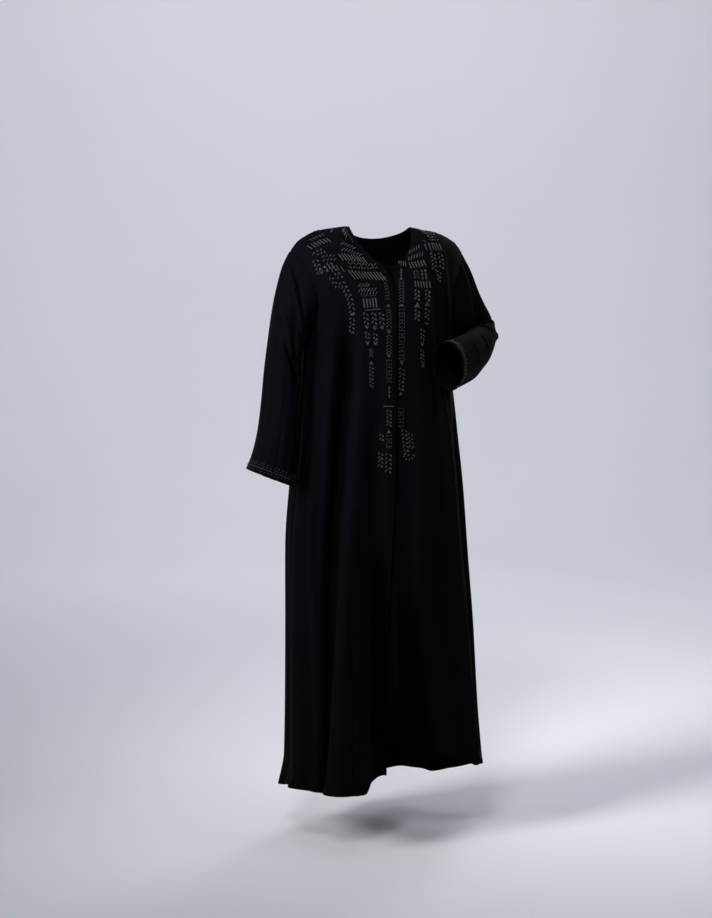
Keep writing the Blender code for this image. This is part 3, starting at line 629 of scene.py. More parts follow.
def panel_drops(panel, angle):
    """The drop of each point of a panel's grid: its top and hem rows keep their real distances."""
    rows = np.broadcast_to(panel_rows()[:, None], angle.shape).copy()
    cap = column_length(panel, angle[0], 0.0, 1.0)
    skirt = column_length(panel, angle[-1], 1.0, 2.0)
    near = len(NEAR_EDGE)
    rows[:near] = NEAR_EDGE[:, None] / cap
    share = np.linspace(0, 1, CAP_ROWS + 1)[1:, None]
    rows[near : near + CAP_ROWS] = rows[near - 1] + (1 - rows[near - 1]) * share
    rows[-len(NEAR_HEM) :] = 2.0 - NEAR_HEM[::-1, None] / skirt
    share = np.linspace(0, 1, SKIRT_ROWS + 1)[1:-1, None]
    rows[near + CAP_ROWS : -len(NEAR_HEM)] = 1 + (rows[-len(NEAR_HEM)] - 1) * share
    return rows


def panel_columns(panel):
    """The columns' angles at each row, close together beside a front edge."""
    rows = panel_rows()
    neck = 90 * NECK_SHARE
    if panel == "back":
        half = np.linspace(90, 180 - neck, SIDE_COLUMNS + 1)
        middle = np.linspace(180 - neck, 180 + neck, BACK_NECK_COLUMNS + 1)[1:-1]
        return np.broadcast_to(
            np.concatenate([half, middle, 360 - half[::-1]]), (len(rows), 2 * len(half) + len(middle))
        )
    edge = edge_angle(panel, rows)
    near = NEAR_EDGE[None, :] / metres_a_degree(panel, edge, rows)[:, None]
    share = np.linspace(0, 1, NECK_COLUMNS + 1)[None, 1:-1]
    side = np.broadcast_to(np.linspace(neck, 90, SIDE_COLUMNS + 1), (len(rows), SIDE_COLUMNS + 1))
    if panel == "front_right":
        close = (edge[:, None] - near)[:, ::-1]
        between = -neck + (close[:, :1] + neck) * share
        return np.concatenate([-side[:, ::-1], between, close], axis=1)
    close = edge[:, None] - LAP_DEGREES + near
    between = close[:, -1:] + (neck - close[:, -1:]) * share
    return np.concatenate([close, between, side], axis=1)


# ---------------------------------------------------------------------------------------------
# Relief: turned edges, seams and puckers

CLOTH = 0.0009
TURNING = 0.0008  # what a turned edge adds to the outside
TURNING_INSIDE = 0.0004
TURNING_STEP = 0.0012
RIM = 0.0012  # how far in from an edge the cloth rounds off
EDGE_WIDTH = 0.0098
STITCH_IN = 0.0016  # how far the sewing lies inside a turning's edge
STITCH_DIP = 0.00042
STITCH_DIP_REACH = 0.0013
RIM_ROUND = 0.42  # the share of the cloth's thickness that each side gives to round the rim
SEAM_REACH = 0.0052
SEAM_DIP = 0.0010
SEAM_PUCKER = 0.0005
SEAM_PUCKER_AT = 0.004
SEAM_PUCKER_REACH = 0.011
ALLOWANCE = 0.011  # a seam allowance's width, which shows faintly from outside
ALLOWANCE_FROM = 0.002
ALLOWANCE_SHOWS = 0.00022


def turned(d, width):
    """A turned edge: a flat rise of its width, with the dip of its sewing."""
    rise = 1 - ease((d - width + TURNING_STEP / 2) / TURNING_STEP)
    return rise, STITCH_DIP * bump((d - width + STITCH_IN) / STITCH_DIP_REACH)


def rounded(d, thickness):
    """How far each side of the cloth comes in to round off its rim."""
    inside = np.clip(1 - d / RIM, 0, 1)
    return thickness * RIM_ROUND * (1 - np.sqrt(np.maximum(1 - inside**2, 0)))


def seam(d, s):
    """A pressed seam: a groove, a faint rise over the allowance, and small uneven puckers."""
    return (
        -SEAM_DIP * bump(d / SEAM_REACH)
        + ALLOWANCE_SHOWS * bump((d - ALLOWANCE / 2 - ALLOWANCE_FROM) / (ALLOWANCE / 2))
        + SEAM_PUCKER * pucker(s) * bump((d - SEAM_PUCKER_AT) / SEAM_PUCKER_REACH)
    )


def pucker(s):
    """Uneven waves of 12 to 25 mm along an edge."""
    turn = 2 * np.pi * s
    wave = np.sin(turn / 0.0185 + 1.7 * np.sin(turn / 0.113) + 0.9 * np.sin(turn / 0.047 + 1))
    swell = 0.55 + 0.45 * np.sin(turn / 0.081 + 0.6) * np.cos(turn / 0.29)
    return wave * swell


def run(points, axis, back=False):
    """The distance along a line, or a grid's rows or columns, from the first point or from the last."""
    step = np.linalg.norm(np.diff(points, axis=axis), axis=-1)
    if back:
        step = np.flip(step, axis)
    total = np.cumsum(step, axis=axis)
    zero = np.zeros_like(np.take(total, [0], axis=axis))
    total = np.concatenate([zero, total], axis=axis)
    return np.flip(total, axis) if back else total


def in_scene(name, data):
    obj = bpy.data.objects.new(name, data)
    bpy.context.scene.collection.objects.link(obj)
    return obj


def shell(name, outer, inner, u, v, hollow, around=False):
    """A closed shell over a grid, from its outside and its inside, with UVs in metres."""
    rows, columns = outer.shape[:2]
    count = rows * columns
    index = np.arange(count).reshape(rows, columns)
    wide = columns if around else columns - 1
    nxt = (np.arange(wide) + 1) % columns
    here = np.arange(wide)
    a, b = index[:-1][:, here], index[1:][:, here]
    c, d = index[1:][:, nxt], index[:-1][:, nxt]
    out = np.stack([a, b, c, d], axis=-1).reshape(-1, 4)
    faces = [out, out[:, ::-1] + count]
    rims = [(index[0, here], index[0, nxt], False), (index[-1, here], index[-1, nxt], True)]
    if not around:
        rims += [(index[:-1, c], index[1:, c], flip) for c, flip in ((0, True), (-1, False))]
    for p, q, flip in rims:
        rim = np.stack([p, q, q + count, p + count], axis=-1)
        faces.append(rim[:, ::-1] if flip else rim)
    faces = np.concatenate(faces)
    points = np.concatenate([outer.reshape(-1, 3), inner.reshape(-1, 3)])
    mesh = bpy.data.meshes.new(name)
    mesh.from_pydata(points.tolist(), [], faces.tolist())
    mesh.update()
    # the hollow attribute is a mask of painted shade: how far the crepe's colour is darkened in folds and
    # beside the lapped edge
    shade = mesh.attributes.new("hollow", "FLOAT", "POINT")
    shade.data.foreach_set("value", np.concatenate([hollow.ravel()] * 2).astype(np.float32))
    layer = mesh.uv_layers.new(name="UVMap")
    flat_u = np.concatenate([u.ravel(), u.ravel()])[faces]
    if around:  # the last column's faces run on past the first column
        whole = u[:, -1].max() + (u[:, -1] - u[:, -2]).mean()
        flat_u = np.where(flat_u.max(axis=1, keepdims=True) - flat_u > whole / 2, flat_u + whole, flat_u)
    flat_v = np.concatenate([v.ravel(), v.ravel()])[faces]
    layer.data.foreach_set("uv", np.stack([flat_u, flat_v], axis=-1).astype(np.float32).ravel())
    mesh.shade_smooth()
    return in_scene(name, mesh)


LAP_DEPTH = 0.0026
BODY_PAINTED_SHADE_DEPTH = (0.020, 0.008)  # the fold depth from which the painted shade in a hollow keeps its full black, above and below
PAINTED_SHADE_DEPTH_CHANGES_AT = -0.45  # the height where the first gives way to the second, over the next length
PAINTED_SHADE_DEPTH_CHANGES_OVER = 0.6
# the fold depth from which a sleeve's painted shade keeps its full black
SLEEVE_PAINTED_SHADE_DEPTH = 0.009
LAP_SHADE = 2.3  # degrees of the left front, beside the right one, where the painted shadow keeps its full black
NECK_SHADE = 5.5  # and so much more beside the rounded corner at the neck
NECK_SHADE_FROM = -0.135
NECK_SHADE_GROWS = 0.050
BODY_RADIUS = 0.24  # of the body and of a sleeve, roughly: it turns an angle into a length
SLEEVE_RADIUS = 0.068
Pucker = namedtuple("Pucker", "depth stretch shift at reach")  # of a turning, beside its sewing
HEM_PUCKER = Pucker(0.0009, 1.0, 0.0, HEM_WIDTH, 0.020)
NECK_PUCKER = Pucker(0.0004, 1.3, 0.2, 0.012, 0.013)
EDGE_PUCKER = Pucker(0.0006, 0.8, 0.0, EDGE_WIDTH, 0.014)
CUFF_PUCKER = Pucker(0.0009, 1.0, 0.0, CUFF_WIDTH, 0.022)


def puckered(kind, s, d):
    """The puckers of a turning at distances s along its edge and d in from it."""
    return kind.depth * pucker(s * kind.stretch + kind.shift) * bump((d - kind.at) / kind.reach)


@lru_cache(maxsize=None)
def panel_grid(panel):
    """(angles, points, normals) of a panel's fine grid."""
    angle = panel_columns(panel)
    drop = panel_drops(panel, angle)
    return angle, creased(panel, angle, drop), cloth_normal(panel, angle, drop)


@lru_cache(maxsize=None)
def panel_faces(panel):
    """(outside, inside, across, down, on the neck's part) of a panel; its outside lies on its solid's."""
    angle, points, normal = panel_grid(panel)
    _, out = from_centre(panel, angle)
    from_top, from_hem = run(points, 0), run(points, 0, back=True)
    first, last = run(points, 1), run(points, 1, back=True)
    s = np.radians(angle) * BODY_RADIUS
    on_neck = np.broadcast_to(out[:1] <= NECK_SHARE + 1e-6, angle.shape)
    rise, dip = turned(from_hem, HEM_WIDTH)
    neck_rise, neck_dip = turned(from_top, EDGE_WIDTH)
    rise = np.maximum(rise, np.where(on_neck, neck_rise, 0))
    dip = dip + np.where(on_neck, neck_dip, 0)
    around_rim = np.minimum(from_hem, np.where(on_neck, from_top, 1.0))
    past_neck = ease(np.abs(out - NECK_SHARE) * 50)
    relief = np.where(on_neck, 0.0, seam(from_top, s)) * past_neck
    relief = relief + puckered(HEM_PUCKER, s, from_hem)
    relief = relief + puckered(NECK_PUCKER, s, from_top) * on_neck
    if panel == "back":
        relief = relief + seam(first, from_top) + seam(last, from_top)
    else:
        edge_run, side_run = (last, first) if panel == "front_right" else (first, last)
        relief = relief + seam(side_run, from_top)
        edge_rise, edge_dip = turned(edge_run, EDGE_WIDTH)
        rise, dip = np.maximum(rise, edge_rise), dip + edge_dip
        around_rim = np.minimum(around_rim, edge_run)
        relief = relief + puckered(EDGE_PUCKER, from_top, edge_run)
    if panel == "front_left":
        edge = edge_angle(panel, panel_rows())[:, None]
        begin, end = LAP_CLEAR
        relief = relief - LAP_DEPTH * (1 - ease((angle - edge - begin) / (end - begin)))
    outer, inner = both_sides(points, normal, relief, rise, dip, around_rim)
    return outer, inner, -last if panel == "front_right" else first, -from_top, on_neck


def both_sides(points, normal, relief, rise, dip, around_rim):
    """The two sides of the cloth, thicker where it is turned and rounded at its rim."""
    close = rounded(around_rim, CLOTH + (TURNING + TURNING_INSIDE) * rise)
    outer = points + normal * (WALL / 2 + relief + TURNING * rise - dip - close)[..., None]
    inner = points + normal * (WALL / 2 + relief - CLOTH - TURNING_INSIDE * rise + close)[..., None]
    return outer, inner


def panel_shell(panel):
    """One body panel as a thin shell."""
    outer, inner, across, down, _ = panel_faces(panel)
    angle, points, _ = panel_grid(panel)
    z = points[..., 2]
    # Painted shade: the deeper a fold's hollow, the darker the crepe's colour is painted
    relief = fold_depth(angle, z) + crease_depth(BODY_CREASES, angle, z, DEGREE_ON_BODY, 1.0)
    above, below = BODY_PAINTED_SHADE_DEPTH
    hollow = ease(-relief / (above + (below - above) * ease((PAINTED_SHADE_DEPTH_CHANGES_AT - z) / PAINTED_SHADE_DEPTH_CHANGES_OVER)))
    # a painted shadow on the left front beside the right front's edge, wider by the neck's rounded corner
    if panel == "front_left":
        past = angle - edge_angle(panel, panel_drops(panel, angle))
        wide = LAP_SHADE + NECK_SHADE * ease((z - NECK_SHADE_FROM) / NECK_SHADE_GROWS)
        hollow = np.maximum(hollow, ease((wide - past) / (0.5 * wide)))
    return shell(f"cloth_{panel}", outer, inner, across, down, hollow)


# ---------------------------------------------------------------------------------------------
# The cloth of the sleeves


ARMHOLE_BLEND = 6  # degrees round the sleeve to each side of its ends where front and back blend
ARMHOLE_SIDES = {
    "sleeve_right": (("front_right", -90.0), ("back", 270.0)),
    "sleeve_left": (("front_left", 90.0), ("back", 90.0)),
}


def armhole(name, round_it):
    """(points, normals, directions off the panel) of the armhole at angles round the sleeve."""
    drop = np.where(round_it <= 180, round_it, 360 - round_it) / 180.0
    made = []
    fine = np.linspace(0, 1, 181)
    for panel, angle in ARMHOLE_SIDES[name]:
        at = np.full(fine.shape, angle)
        points, normal = creased(panel, at, fine), cloth_normal(panel, at, fine)
        middle = 180.0 if panel == "back" else 0.0
        inside = creased(panel, at + (OFF_PANEL_STEP if angle < middle else -OFF_PANEL_STEP), fine)
        along = unit(np.gradient(points, axis=0))
        off = points - inside
        made.append([sampled(drop, fine, a) for a in (points, normal, level(off, along))])
    front, rear = made
    past_end = 90 - np.abs(away_from(90.0, round_it))
    in_front = ease((past_end + ARMHOLE_BLEND) / (2 * ARMHOLE_BLEND))[:, None]
    return [
        np.where((round_it <= 180)[:, None], front[0], rear[0]),
        unit(front[1] * in_front + rear[1] * (1 - in_front)),
        unit(front[2] * in_front + rear[2] * (1 - in_front)),
    ]


def sleeve_dent(name, round_it, along):
    dent = np.zeros((len(along), len(round_it)))
    for f in SLEEVE_FOLDS[name]:
        share = np.clip((along - f.from_) / (f.to - f.from_), 0, 1)
        middle = f.at0 + (f.at1 - f.at0) * share
        away = away_from(middle[:, None], round_it[None, :])
        dent += bump(away / f.half) * (np.sin(np.pi * share) ** 0.8 * f.depth)[:, None]
    return dent


def sleeve_surface(name, round_it, along):
    """Rings from the armhole's own curve to ovals, with the sleeve's folds."""
    rings = SLEEVE_RINGS[name]
    get = {c: through(rings, "along", c, along)[:, None, None] for c in Ring._fields[1:]}
    outer, inner = (
        np.concatenate([get[f"{line}_{axis}"] for axis in "xyz"], axis=2) for line in ("out", "in")
    )
    turn = np.radians(get["turn"])
    away = -1.0 if name == "sleeve_right" else 1.0
    front = np.concatenate([np.sin(turn) * away, -np.cos(turn), np.zeros_like(turn)], axis=2)
    dent = sleeve_dent(name, round_it, along)[..., None]
    a = np.radians(round_it)[None, :, None]
    half = (outer - inner) / 2
    size = np.linalg.norm(half, axis=2, keepdims=True)
    oval = (
        (outer + inner) / 2
        + half * (1 + dent / size) * np.cos(a)
        + front * (get["half_side"] + dent) * np.sin(a)
    )
    ring = armhole(name, round_it)[0]
    ends = armhole(name, np.array([0.0, 180.0]))[0]
    line = ends[1] - ends[0]
    share = ((ring - ends[0]) @ line / (line @ line))[:, None]
    beside = ring - ends[0] - share * line
    carried = outer + (inner - outer) * share[None] + beside[None]
    return carried * (1 - get["roundness"]) + oval * get["roundness"]


def tube_normals(points):
    """The outward direction at each point of a tube: the mean of the four faces round it."""
    beside = np.roll(points, -1, axis=1)
    face = np.cross(beside[1:] - points[:-1], beside[:-1] - points[1:])
    face /= np.sqrt(np.maximum(np.linalg.norm(face, axis=2, keepdims=True), 1e-12))
    face = face + np.roll(face, 1, axis=1)
    return unit(np.concatenate([face, face[-1:]]) + np.concatenate([face[:1], face]))


SEAM_ROWS = np.array([0.0, 0.0012, 0.0030, 0.0055, 0.0090, 0.0140])
SEAM_BLEND = 0.0255  # the sleeve's own shape begins this far from the seam
NORMAL_BLEND = 0.008  # and its own directions count in full this far from it
CREASES_FROM = 0.05  # the share of the way down by which the creases have their full depth


def sleeve_crease_depth(name, round_it, along):
    return crease_depth(
        SLEEVE_CREASES[name], round_it[None, :], along[:, None], DEGREE_ON_SLEEVE, SLEEVE_LENGTH
    )


@lru_cache(maxsize=None)
def sleeve_grid(name):
    """(angles round, shares along, points, normals) of a sleeve's creased grid."""
    round_it = np.arange(SLEEVE_COLUMNS) * 360.0 / SLEEVE_COLUMNS
    cuff = 1 - NEAR_CUFF[::-1] / SLEEVE_LENGTH
    main = np.linspace(SEAM_BLEND / SLEEVE_LENGTH, cuff[0], SLEEVE_ROWS - 6)[:-1]
    along = np.concatenate([SEAM_ROWS / SLEEVE_LENGTH, main, cuff])
    near = len(SEAM_ROWS)
    points = sleeve_surface(name, round_it, along)
    edge, edge_normal, off = armhole(name, round_it)
    goal = points[near]
    start = unit(off + unit(goal - edge)) * np.linalg.norm(goal - edge, axis=1, keepdims=True)
    finish = (points[near + 1] - goal) / (along[near + 1] - along[near]) * SEAM_BLEND / SLEEVE_LENGTH
    for row in range(near):
        u = SEAM_ROWS[row] / SEAM_BLEND
        points[row] = (
            edge * (1 + 2 * u) * (1 - u) ** 2
            + goal * u * u * (3 - 2 * u)
            + start * u * (1 - u) ** 2
            - finish * u * u * (1 - u)
        )
    if name == "sleeve_left":  # the columns of both sleeves then run the same way round
        points, edge_normal, round_it = points[:, ::-1], edge_normal[::-1], round_it[::-1]
    normal = tube_normals(points)
    depth = sleeve_crease_depth(name, round_it, along) * ease(along / CREASES_FROM)[:, None]
    points = points + normal * depth[..., None]
    normal = tube_normals(points)
    blend = ease(SEAM_ROWS / NORMAL_BLEND)[:, None, None]
    normal[:near] = unit(edge_normal[None] * (1 - blend) + normal[:near] * blend)
    return round_it, along, points, normal


@lru_cache(maxsize=None)
def sleeve_faces(name):
    """(outside, inside, round, down) of a sleeve with its turned cuff."""
    round_it, _, points, normal = sleeve_grid(name)
    from_top, from_cuff = run(points, 0), run(points, 0, back=True)
    s = np.radians(round_it)[None, :] * SLEEVE_RADIUS
    rise, dip = turned(from_cuff, CUFF_WIDTH)
    relief = seam(from_top, s) + puckered(CUFF_PUCKER, s, from_cuff)
    outer, inner = both_sides(points, normal, relief, rise, dip, from_cuff)
    return outer, inner, run(points, 1), -from_top


def sleeve_shell(name):
    """One sleeve as a thin shell."""
    outer, inner, across, down = sleeve_faces(name)
    round_it, along, _, _ = sleeve_grid(name)
    # Painted shade: the deeper a sleeve's fold, the darker the crepe's colour is painted
    relief = sleeve_dent(name, round_it, along) + sleeve_crease_depth(name, round_it, along)
    hollow = ease(-relief / SLEEVE_PAINTED_SHADE_DEPTH)
    return shell(f"cloth_{name}", outer, inner, across, down, hollow, around=True)


# ---------------------------------------------------------------------------------------------
# Stitched lines on the cloth. A line is a path of (angle, drop) on a panel; a stitch lies a distance
# along it and a distance across it, to the wearer's left of a line that runs down. All that the yoke's
# lines say is in millimetres and degrees. A place on a line is its depth below the neck's base; on a
# measured line it is the distance from the line's start or, below zero, from its end.

Stitch = namedtuple("Stitch", "along across turn length width kind")
PATH_STEPS = 160
STITCH_RISE = 0.75 * MM
PROBE_ALONG = 0.003  # a small step along a line, in metres, that shows which way it runs
CHEVRON_POINT = 42
LEAF_LEAN = 38
ZIGZAG_LEAN = 42


def smooth_path(corners):
    """A curve through the (angle, drop) corners of a line."""
    corners = np.array(corners, float)
    at = np.linspace(0, len(corners) - 1, PATH_STEPS)
    i = np.clip(at.astype(int), 0, len(corners) - 2)
    u = (at - i)[:, None]
    before, after = corners[np.maximum(i - 1, 0)], corners[np.minimum(i + 2, len(corners) - 1)]
    here, there = corners[i], corners[i + 1]
    return 0.5 * (
        2 * here
        + (there - before) * u
        + (2 * before - 5 * here + 4 * there - after) * u * u
        + (3 * here - before - 3 * there + after) * u**3
    )


class StitchedLine:
    """A line on a panel, the patterns that can be worked along it, and their stitches."""

    def __init__(self, panel, corners, measured=False):
        self.panel, self.measured, self.stitches = panel, measured, []
        self.path = smooth_path(corners)
        self.points = creased(panel, self.path[:, 0], self.path[:, 1])
        self.lengths = run(self.points, 0)

    def at(self, place):
        """The distance along the line of one of its places."""
        if self.measured:
            return place / 1000 + (self.lengths[-1] if place < 0 else 0.0)
        order = np.argsort(self.points[:, 2])
        return float(np.interp(-place / 1000, self.points[order, 2], self.lengths[order]))

    def steps(self, start, end, pitch, lead=0.004, tail=0.001):
        return np.arange(self.at(start) + lead, self.at(end) - tail, pitch * MM)

    def put(self, along, across, turn, length, width, kind="leaf"):
        self.stitches.append(Stitch(along, across / 1000, turn, length * MM, width * MM, kind))
        return self

    def chevrons(self, start, end, across=0, arm=10.0, half=3.9, width=1.7, pitch=7.8):
        """Arms that meet in a row of pointed roofs."""
        for u in self.steps(start, end, pitch, lead=0.003):
            for side in (-1, 1):
                self.put(u, across + side * half, side * CHEVRON_POINT, arm, width)
        return self

    def ladder(self, start, end, pitch=8.4, half=6.0):
        """Two rails of short bars with small diamonds between them."""
        for i, u in enumerate(self.steps(start, end, pitch, tail=0.002)):
            for side in (-1, 1):
                self.put(u, side * half, 0, pitch - 3.0, 1.0, "bar")
                self.put(u, side * 2.3, side * 48, 5.0, 1.2)
            if i % 2:
                self.put(u + pitch * MM / 2, 0, 0, 2.6, 2.6, "dot")
        return self

    def row(self, place, first, last, turn, length, width, pitch=7.6, kind="bar", flip=False):
        """Stitches side by side at one place, from one distance across the line to another."""
        for i, a in enumerate(np.arange(first, last + 0.01, pitch)):
            self.put(self.at(place), a, -turn if flip and i % 2 else turn, length, width, kind)
        return self

    def zigzag_rows(self, places, first, last, pitch=7.6, length=9, width=2.2):
        """Rows of arms that lean to and fro, each row set half a step on."""
        for i, place in enumerate(places):
            begin = first + (i % 2) * pitch / 2
            self.row(place, begin, last, ZIGZAG_LEAN, length, width, pitch, "leaf", flip=True)
        return self

    def leaves(self, start, end, across=0, pitch=10.5, half=4.6, length=8.4, width=3.5, stem=True):
        """Pairs of leaves along a stem, one a little lower than the other."""
        for i, u in enumerate(self.steps(start, end, pitch)):
            self.put(u, across - half, -LEAF_LEAN, length, width)
            self.put(u + pitch * 0.35 * MM, across + half, LEAF_LEAN, length, width)
            if stem and i % 2:
                self.put(u + pitch * 0.5 * MM, across, 0, 3.4, 2.2, "dot")
        return self

    def bars(self, start, end, across, lean, length, width, pitch):
        """A row of parallel bars laid across the line."""
        for u in self.steps(start, end, pitch, lead=0.002):
            self.put(u, across, lean, length, width, "bar")
        return self

    def zigzag(self, start, end, across, arm, width, pitch, lean=58):
        for i, u in enumerate(self.steps(start, end, pitch, lead=0.002)):
            self.put(u, across, lean if i % 2 else 180 - lean, arm, width)
        return self

    def diamonds(self, start, end, across=0, pitch=9.5, size=6.4):
        for u in self.steps(start, end, pitch, tail=0.002):
            self.put(u, across, 0, size, size, "diamond")
            self.put(u + pitch * MM / 2, across, 0, 2.4, 2.4, "dot")
        return self

    def across_bar(self, place, across, length, width=3.0):
        return self.put(self.at(place), across, 90, length, width, "bar")

    def triangle(self, place, length=8.5, width=10.5, turn=180):
        return self.put(self.at(place), 0, turn, length, width, "triangle")

    def heart(self, place, dots_up=0.0062, dots_apart=2.6):
        """A wedge that points down under two small dots."""
        self.triangle(place, length=8.0, width=9.5, turn=0)
        for side in (-1, 1):
            self.put(self.at(place) - dots_up, side * dots_apart, 0, 3.0, 3.2, "dot")
        return self

    def sprig(self, place, across, reach, count=5, fan=68, length=7.6, width=2.8):
        """Leaves fanned out from one place."""
        for i in range(count):
            turn = -fan + 2 * fan * i / (count - 1)
            out, aside = math.cos(math.radians(turn)), math.sin(math.radians(turn))
            start = self.at(place) + reach * 0.55 * MM * out
            self.put(start, across + reach * 0.55 * aside, turn, length, width)
        return self

    def placed(self):
        """(points, normals, directions, sizes, kinds) of the stitches, on the cloth's outside."""
        along, across, turn, length, width = (
            np.array([s[k] for s in self.stitches], float) for k in range(5)
        )
        angle, drop = (np.interp(along, self.lengths, self.path[:, k]) for k in range(2))
        ahead = sampled(along + PROBE_ALONG, self.lengths, self.points) - sampled(
            along - PROBE_ALONG, self.lengths, self.points
        )

        def cloth(a, d):
            return creased(self.panel, a, d)

        here = cloth(angle, drop)
        for _ in range(2):
            d_angle = cloth(angle + PROBE_TURN, drop) - cloth(angle - PROBE_TURN, drop)
            d_angle = d_angle / (2 * PROBE_TURN)
            up, low = np.maximum(drop - PROBE_DROP, 0.0), drop + PROBE_DROP
            d_drop = (cloth(angle, low) - cloth(angle, up)) / (low - up)[:, None]
            normal = unit(np.cross(d_drop, d_angle))
            ahead = level(ahead, normal)
            side = np.cross(normal, ahead)
            miss = here + side * across[:, None] - cloth(angle, drop)
            g11, g12, g22 = (d_angle**2).sum(-1), (d_angle * d_drop).sum(-1), (d_drop**2).sum(-1)
            m1, m2 = (miss * d_angle).sum(-1), (miss * d_drop).sum(-1)
            whole = g11 * g22 - g12 * g12
            angle = angle + (g22 * m1 - g12 * m2) / whole
            drop = np.maximum(drop + (g11 * m2 - g12 * m1) / whole, 0.0)
        turn = np.radians(turn)[:, None]
        facing = level(ahead * np.cos(turn) + side * np.sin(turn), normal)
        sizes = np.stack([length, width, np.full(len(length), STITCH_RISE)], axis=-1)
        return cloth(angle, drop), normal, facing, sizes, np.array([s.kind for s in self.stitches])


def edge_line(panel, off):
    """A line down a front, a distance in from where the fronts' edge lies."""
    rows = np.linspace(0.03, 1.36, 24)
    edge = edge_angle(panel, rows)
    way = -1.0 if panel == "front_right" else 1.0
    return list(zip(edge + way * off / metres_a_degree(panel, edge, rows), rows))


def straight_line(angle, top, low):
    return [(angle, d) for d in np.linspace(top, low, 12)]


def neck_line(side, begin=36.5, end=3.0):
    """Along the neck edge, from the shoulder to the front."""
    return [(side * a, 0.0) for a in np.linspace(begin, end, 14)]


RIGHT_GARLAND = (
    (-79, 0.12), (-76, 0.28), (-71, 0.43), (-58, 0.53), (-47, 0.59), (-38.5, 0.65), (-33, 0.71),
    (-31.5, 0.79), (-33, 0.93),
)
LEFT_BLOCK = ((51, 0.03), (48, 0.18), (44.5, 0.34), (42, 0.47), (39.5, 0.56), (37, 0.66))
LEFT_EDGE = (
    (9.5, 0.02), (7.5, 0.175), (6.5, 0.358), (5.5, 0.55), (4.5, 0.825), (4.0, 1.04), (3.0, 1.10),
    (2.4, 1.16), (2.6, 1.22), (4.0, 1.27), (5.0, 1.33),
)


def right_yoke():
    """The lines of the wearer's right half."""
    def line(corners, measured=False):
        return StitchedLine("front_right", corners, measured)

    yield (
        line(edge_line("front_right", 0.0185))
        .chevrons(112, 172, arm=7.0, half=3.0, width=1.6).triangle(182).chevrons(190, 238)
        .heart(246).chevrons(252, 296).heart(303).ladder(309, 370).diamonds(374, 408)
        .across_bar(422, 6, length=12.5).across_bar(422, -7.5, length=12.5)
        .leaves(428, 474, pitch=8.4, half=4.0, length=7.5, width=3.2)
        .triangle(482, width=11.5).ladder(488, 527)
        .leaves(532, 586, pitch=10.0, half=5.4, width=3.6)
        .leaves(486, 508, across=-17.5, pitch=9, half=3.4, length=7.5, width=3.4)
        .leaves(530, 572, across=-19, pitch=9.5, half=3.8, length=8, width=3.6)
    )
    yield (
        line(straight_line(-27.0, 0.02, 0.9))
        .row(42, -24, 12, -40, length=13, width=2.2).row(53, -20, 26, -40, length=12, width=2.2)
        .row(68, -24, 40, 34, length=21, width=2.5).zigzag_rows((81.5, 91.5), -6, 66, pitch=7.4)
    )
    yield (
        line(straight_line(-17.0, 0.10, 1.16))
        .row(111, -38, 46, 35, length=26, width=2.5, pitch=7.8)
        .row(134, -22, 4, -46, length=13, width=2.1).row(145, -22, 22, -46, length=13, width=2.1)
        .row(153.5, -20, 22, -30, length=5, width=2.1)
        .row(158.5, -18, 20, 0, length=2.6, width=2.6, pitch=5.6, kind="dot")
        .row(176, -16, 21, 0, length=24, width=3.1).across_bar(192.5, 2.5, length=42)
    )
    for angle, low, second in ((-21.5, 235, 273), (-15.8, 238, 274), (-10.6, 237, None)):
        column = line(straight_line(angle, 0.55, 1.16))
        column.leaves(197, low - 8, half=3.9, width=3.8).heart(low)
        if second:
            column.leaves(low + 8, second - 8, pitch=8.8, half=3.6, length=7.6, width=3.4).heart(second)
        yield column
    yield (
        line(straight_line(-19.2, 0.9, 1.2))
        .chevrons(284, 306, pitch=5.0, arm=7.2, half=2.8).triangle(318, width=10)
        .leaves(325, 376, pitch=8.6, half=3.4, length=7.4, width=3.2)
    )
    yield (
        line(neck_line(-1), measured=True)
        .zigzag(4, 50, across=-16.5, arm=7.6, width=1.9, pitch=7.0)
        .bars(2, 40, across=-27, lean=-40, length=13, width=2.2, pitch=7.2)
    )
    yield (
        line(straight_line(-67.0, 0.02, 0.9))
        .row(16, -20, 16, 32, length=9, width=2.2, pitch=7.8).row(31, -27, 20, 32, length=18, width=2.4)
        .row(48, -22, 0, -40, length=8, width=3.0, pitch=8.6, kind="leaf", flip=True)
        .row(56, -14, 10, 40, length=8, width=3.0, pitch=8.6, kind="leaf", flip=True)
    )
    yield line(straight_line(-80.0, 0.20, 0.95)).leaves(72, 104, half=5.0, length=8.6, width=3.4)
    yield (
        line(straight_line(-56.0, 0.10, 0.95))
        .row(93, -8, 28, 30, length=19, width=2.2, pitch=9.0)
        .row(64, -14, 12, -40, length=8, width=2.0, pitch=8.4)
        .row(73, -12, 16, -40, length=8, width=2.0, pitch=8.4)
    )
    garland = line(RIGHT_GARLAND, measured=True)
    yield (
        garland.leaves(94, 150, across=4)
        .leaves(94, 118, across=-14, half=4.4, length=8.6, width=3.8, stem=False)
        .leaves(150, -52, pitch=10.8, half=4.8)
        .leaves(126, 166, across=-15, pitch=13.0, half=3.2, length=7.2, width=3.2, stem=False)
        .triangle(-48).leaves(-41, -6, pitch=9.6, half=4.2, length=8, width=3.6)
    )


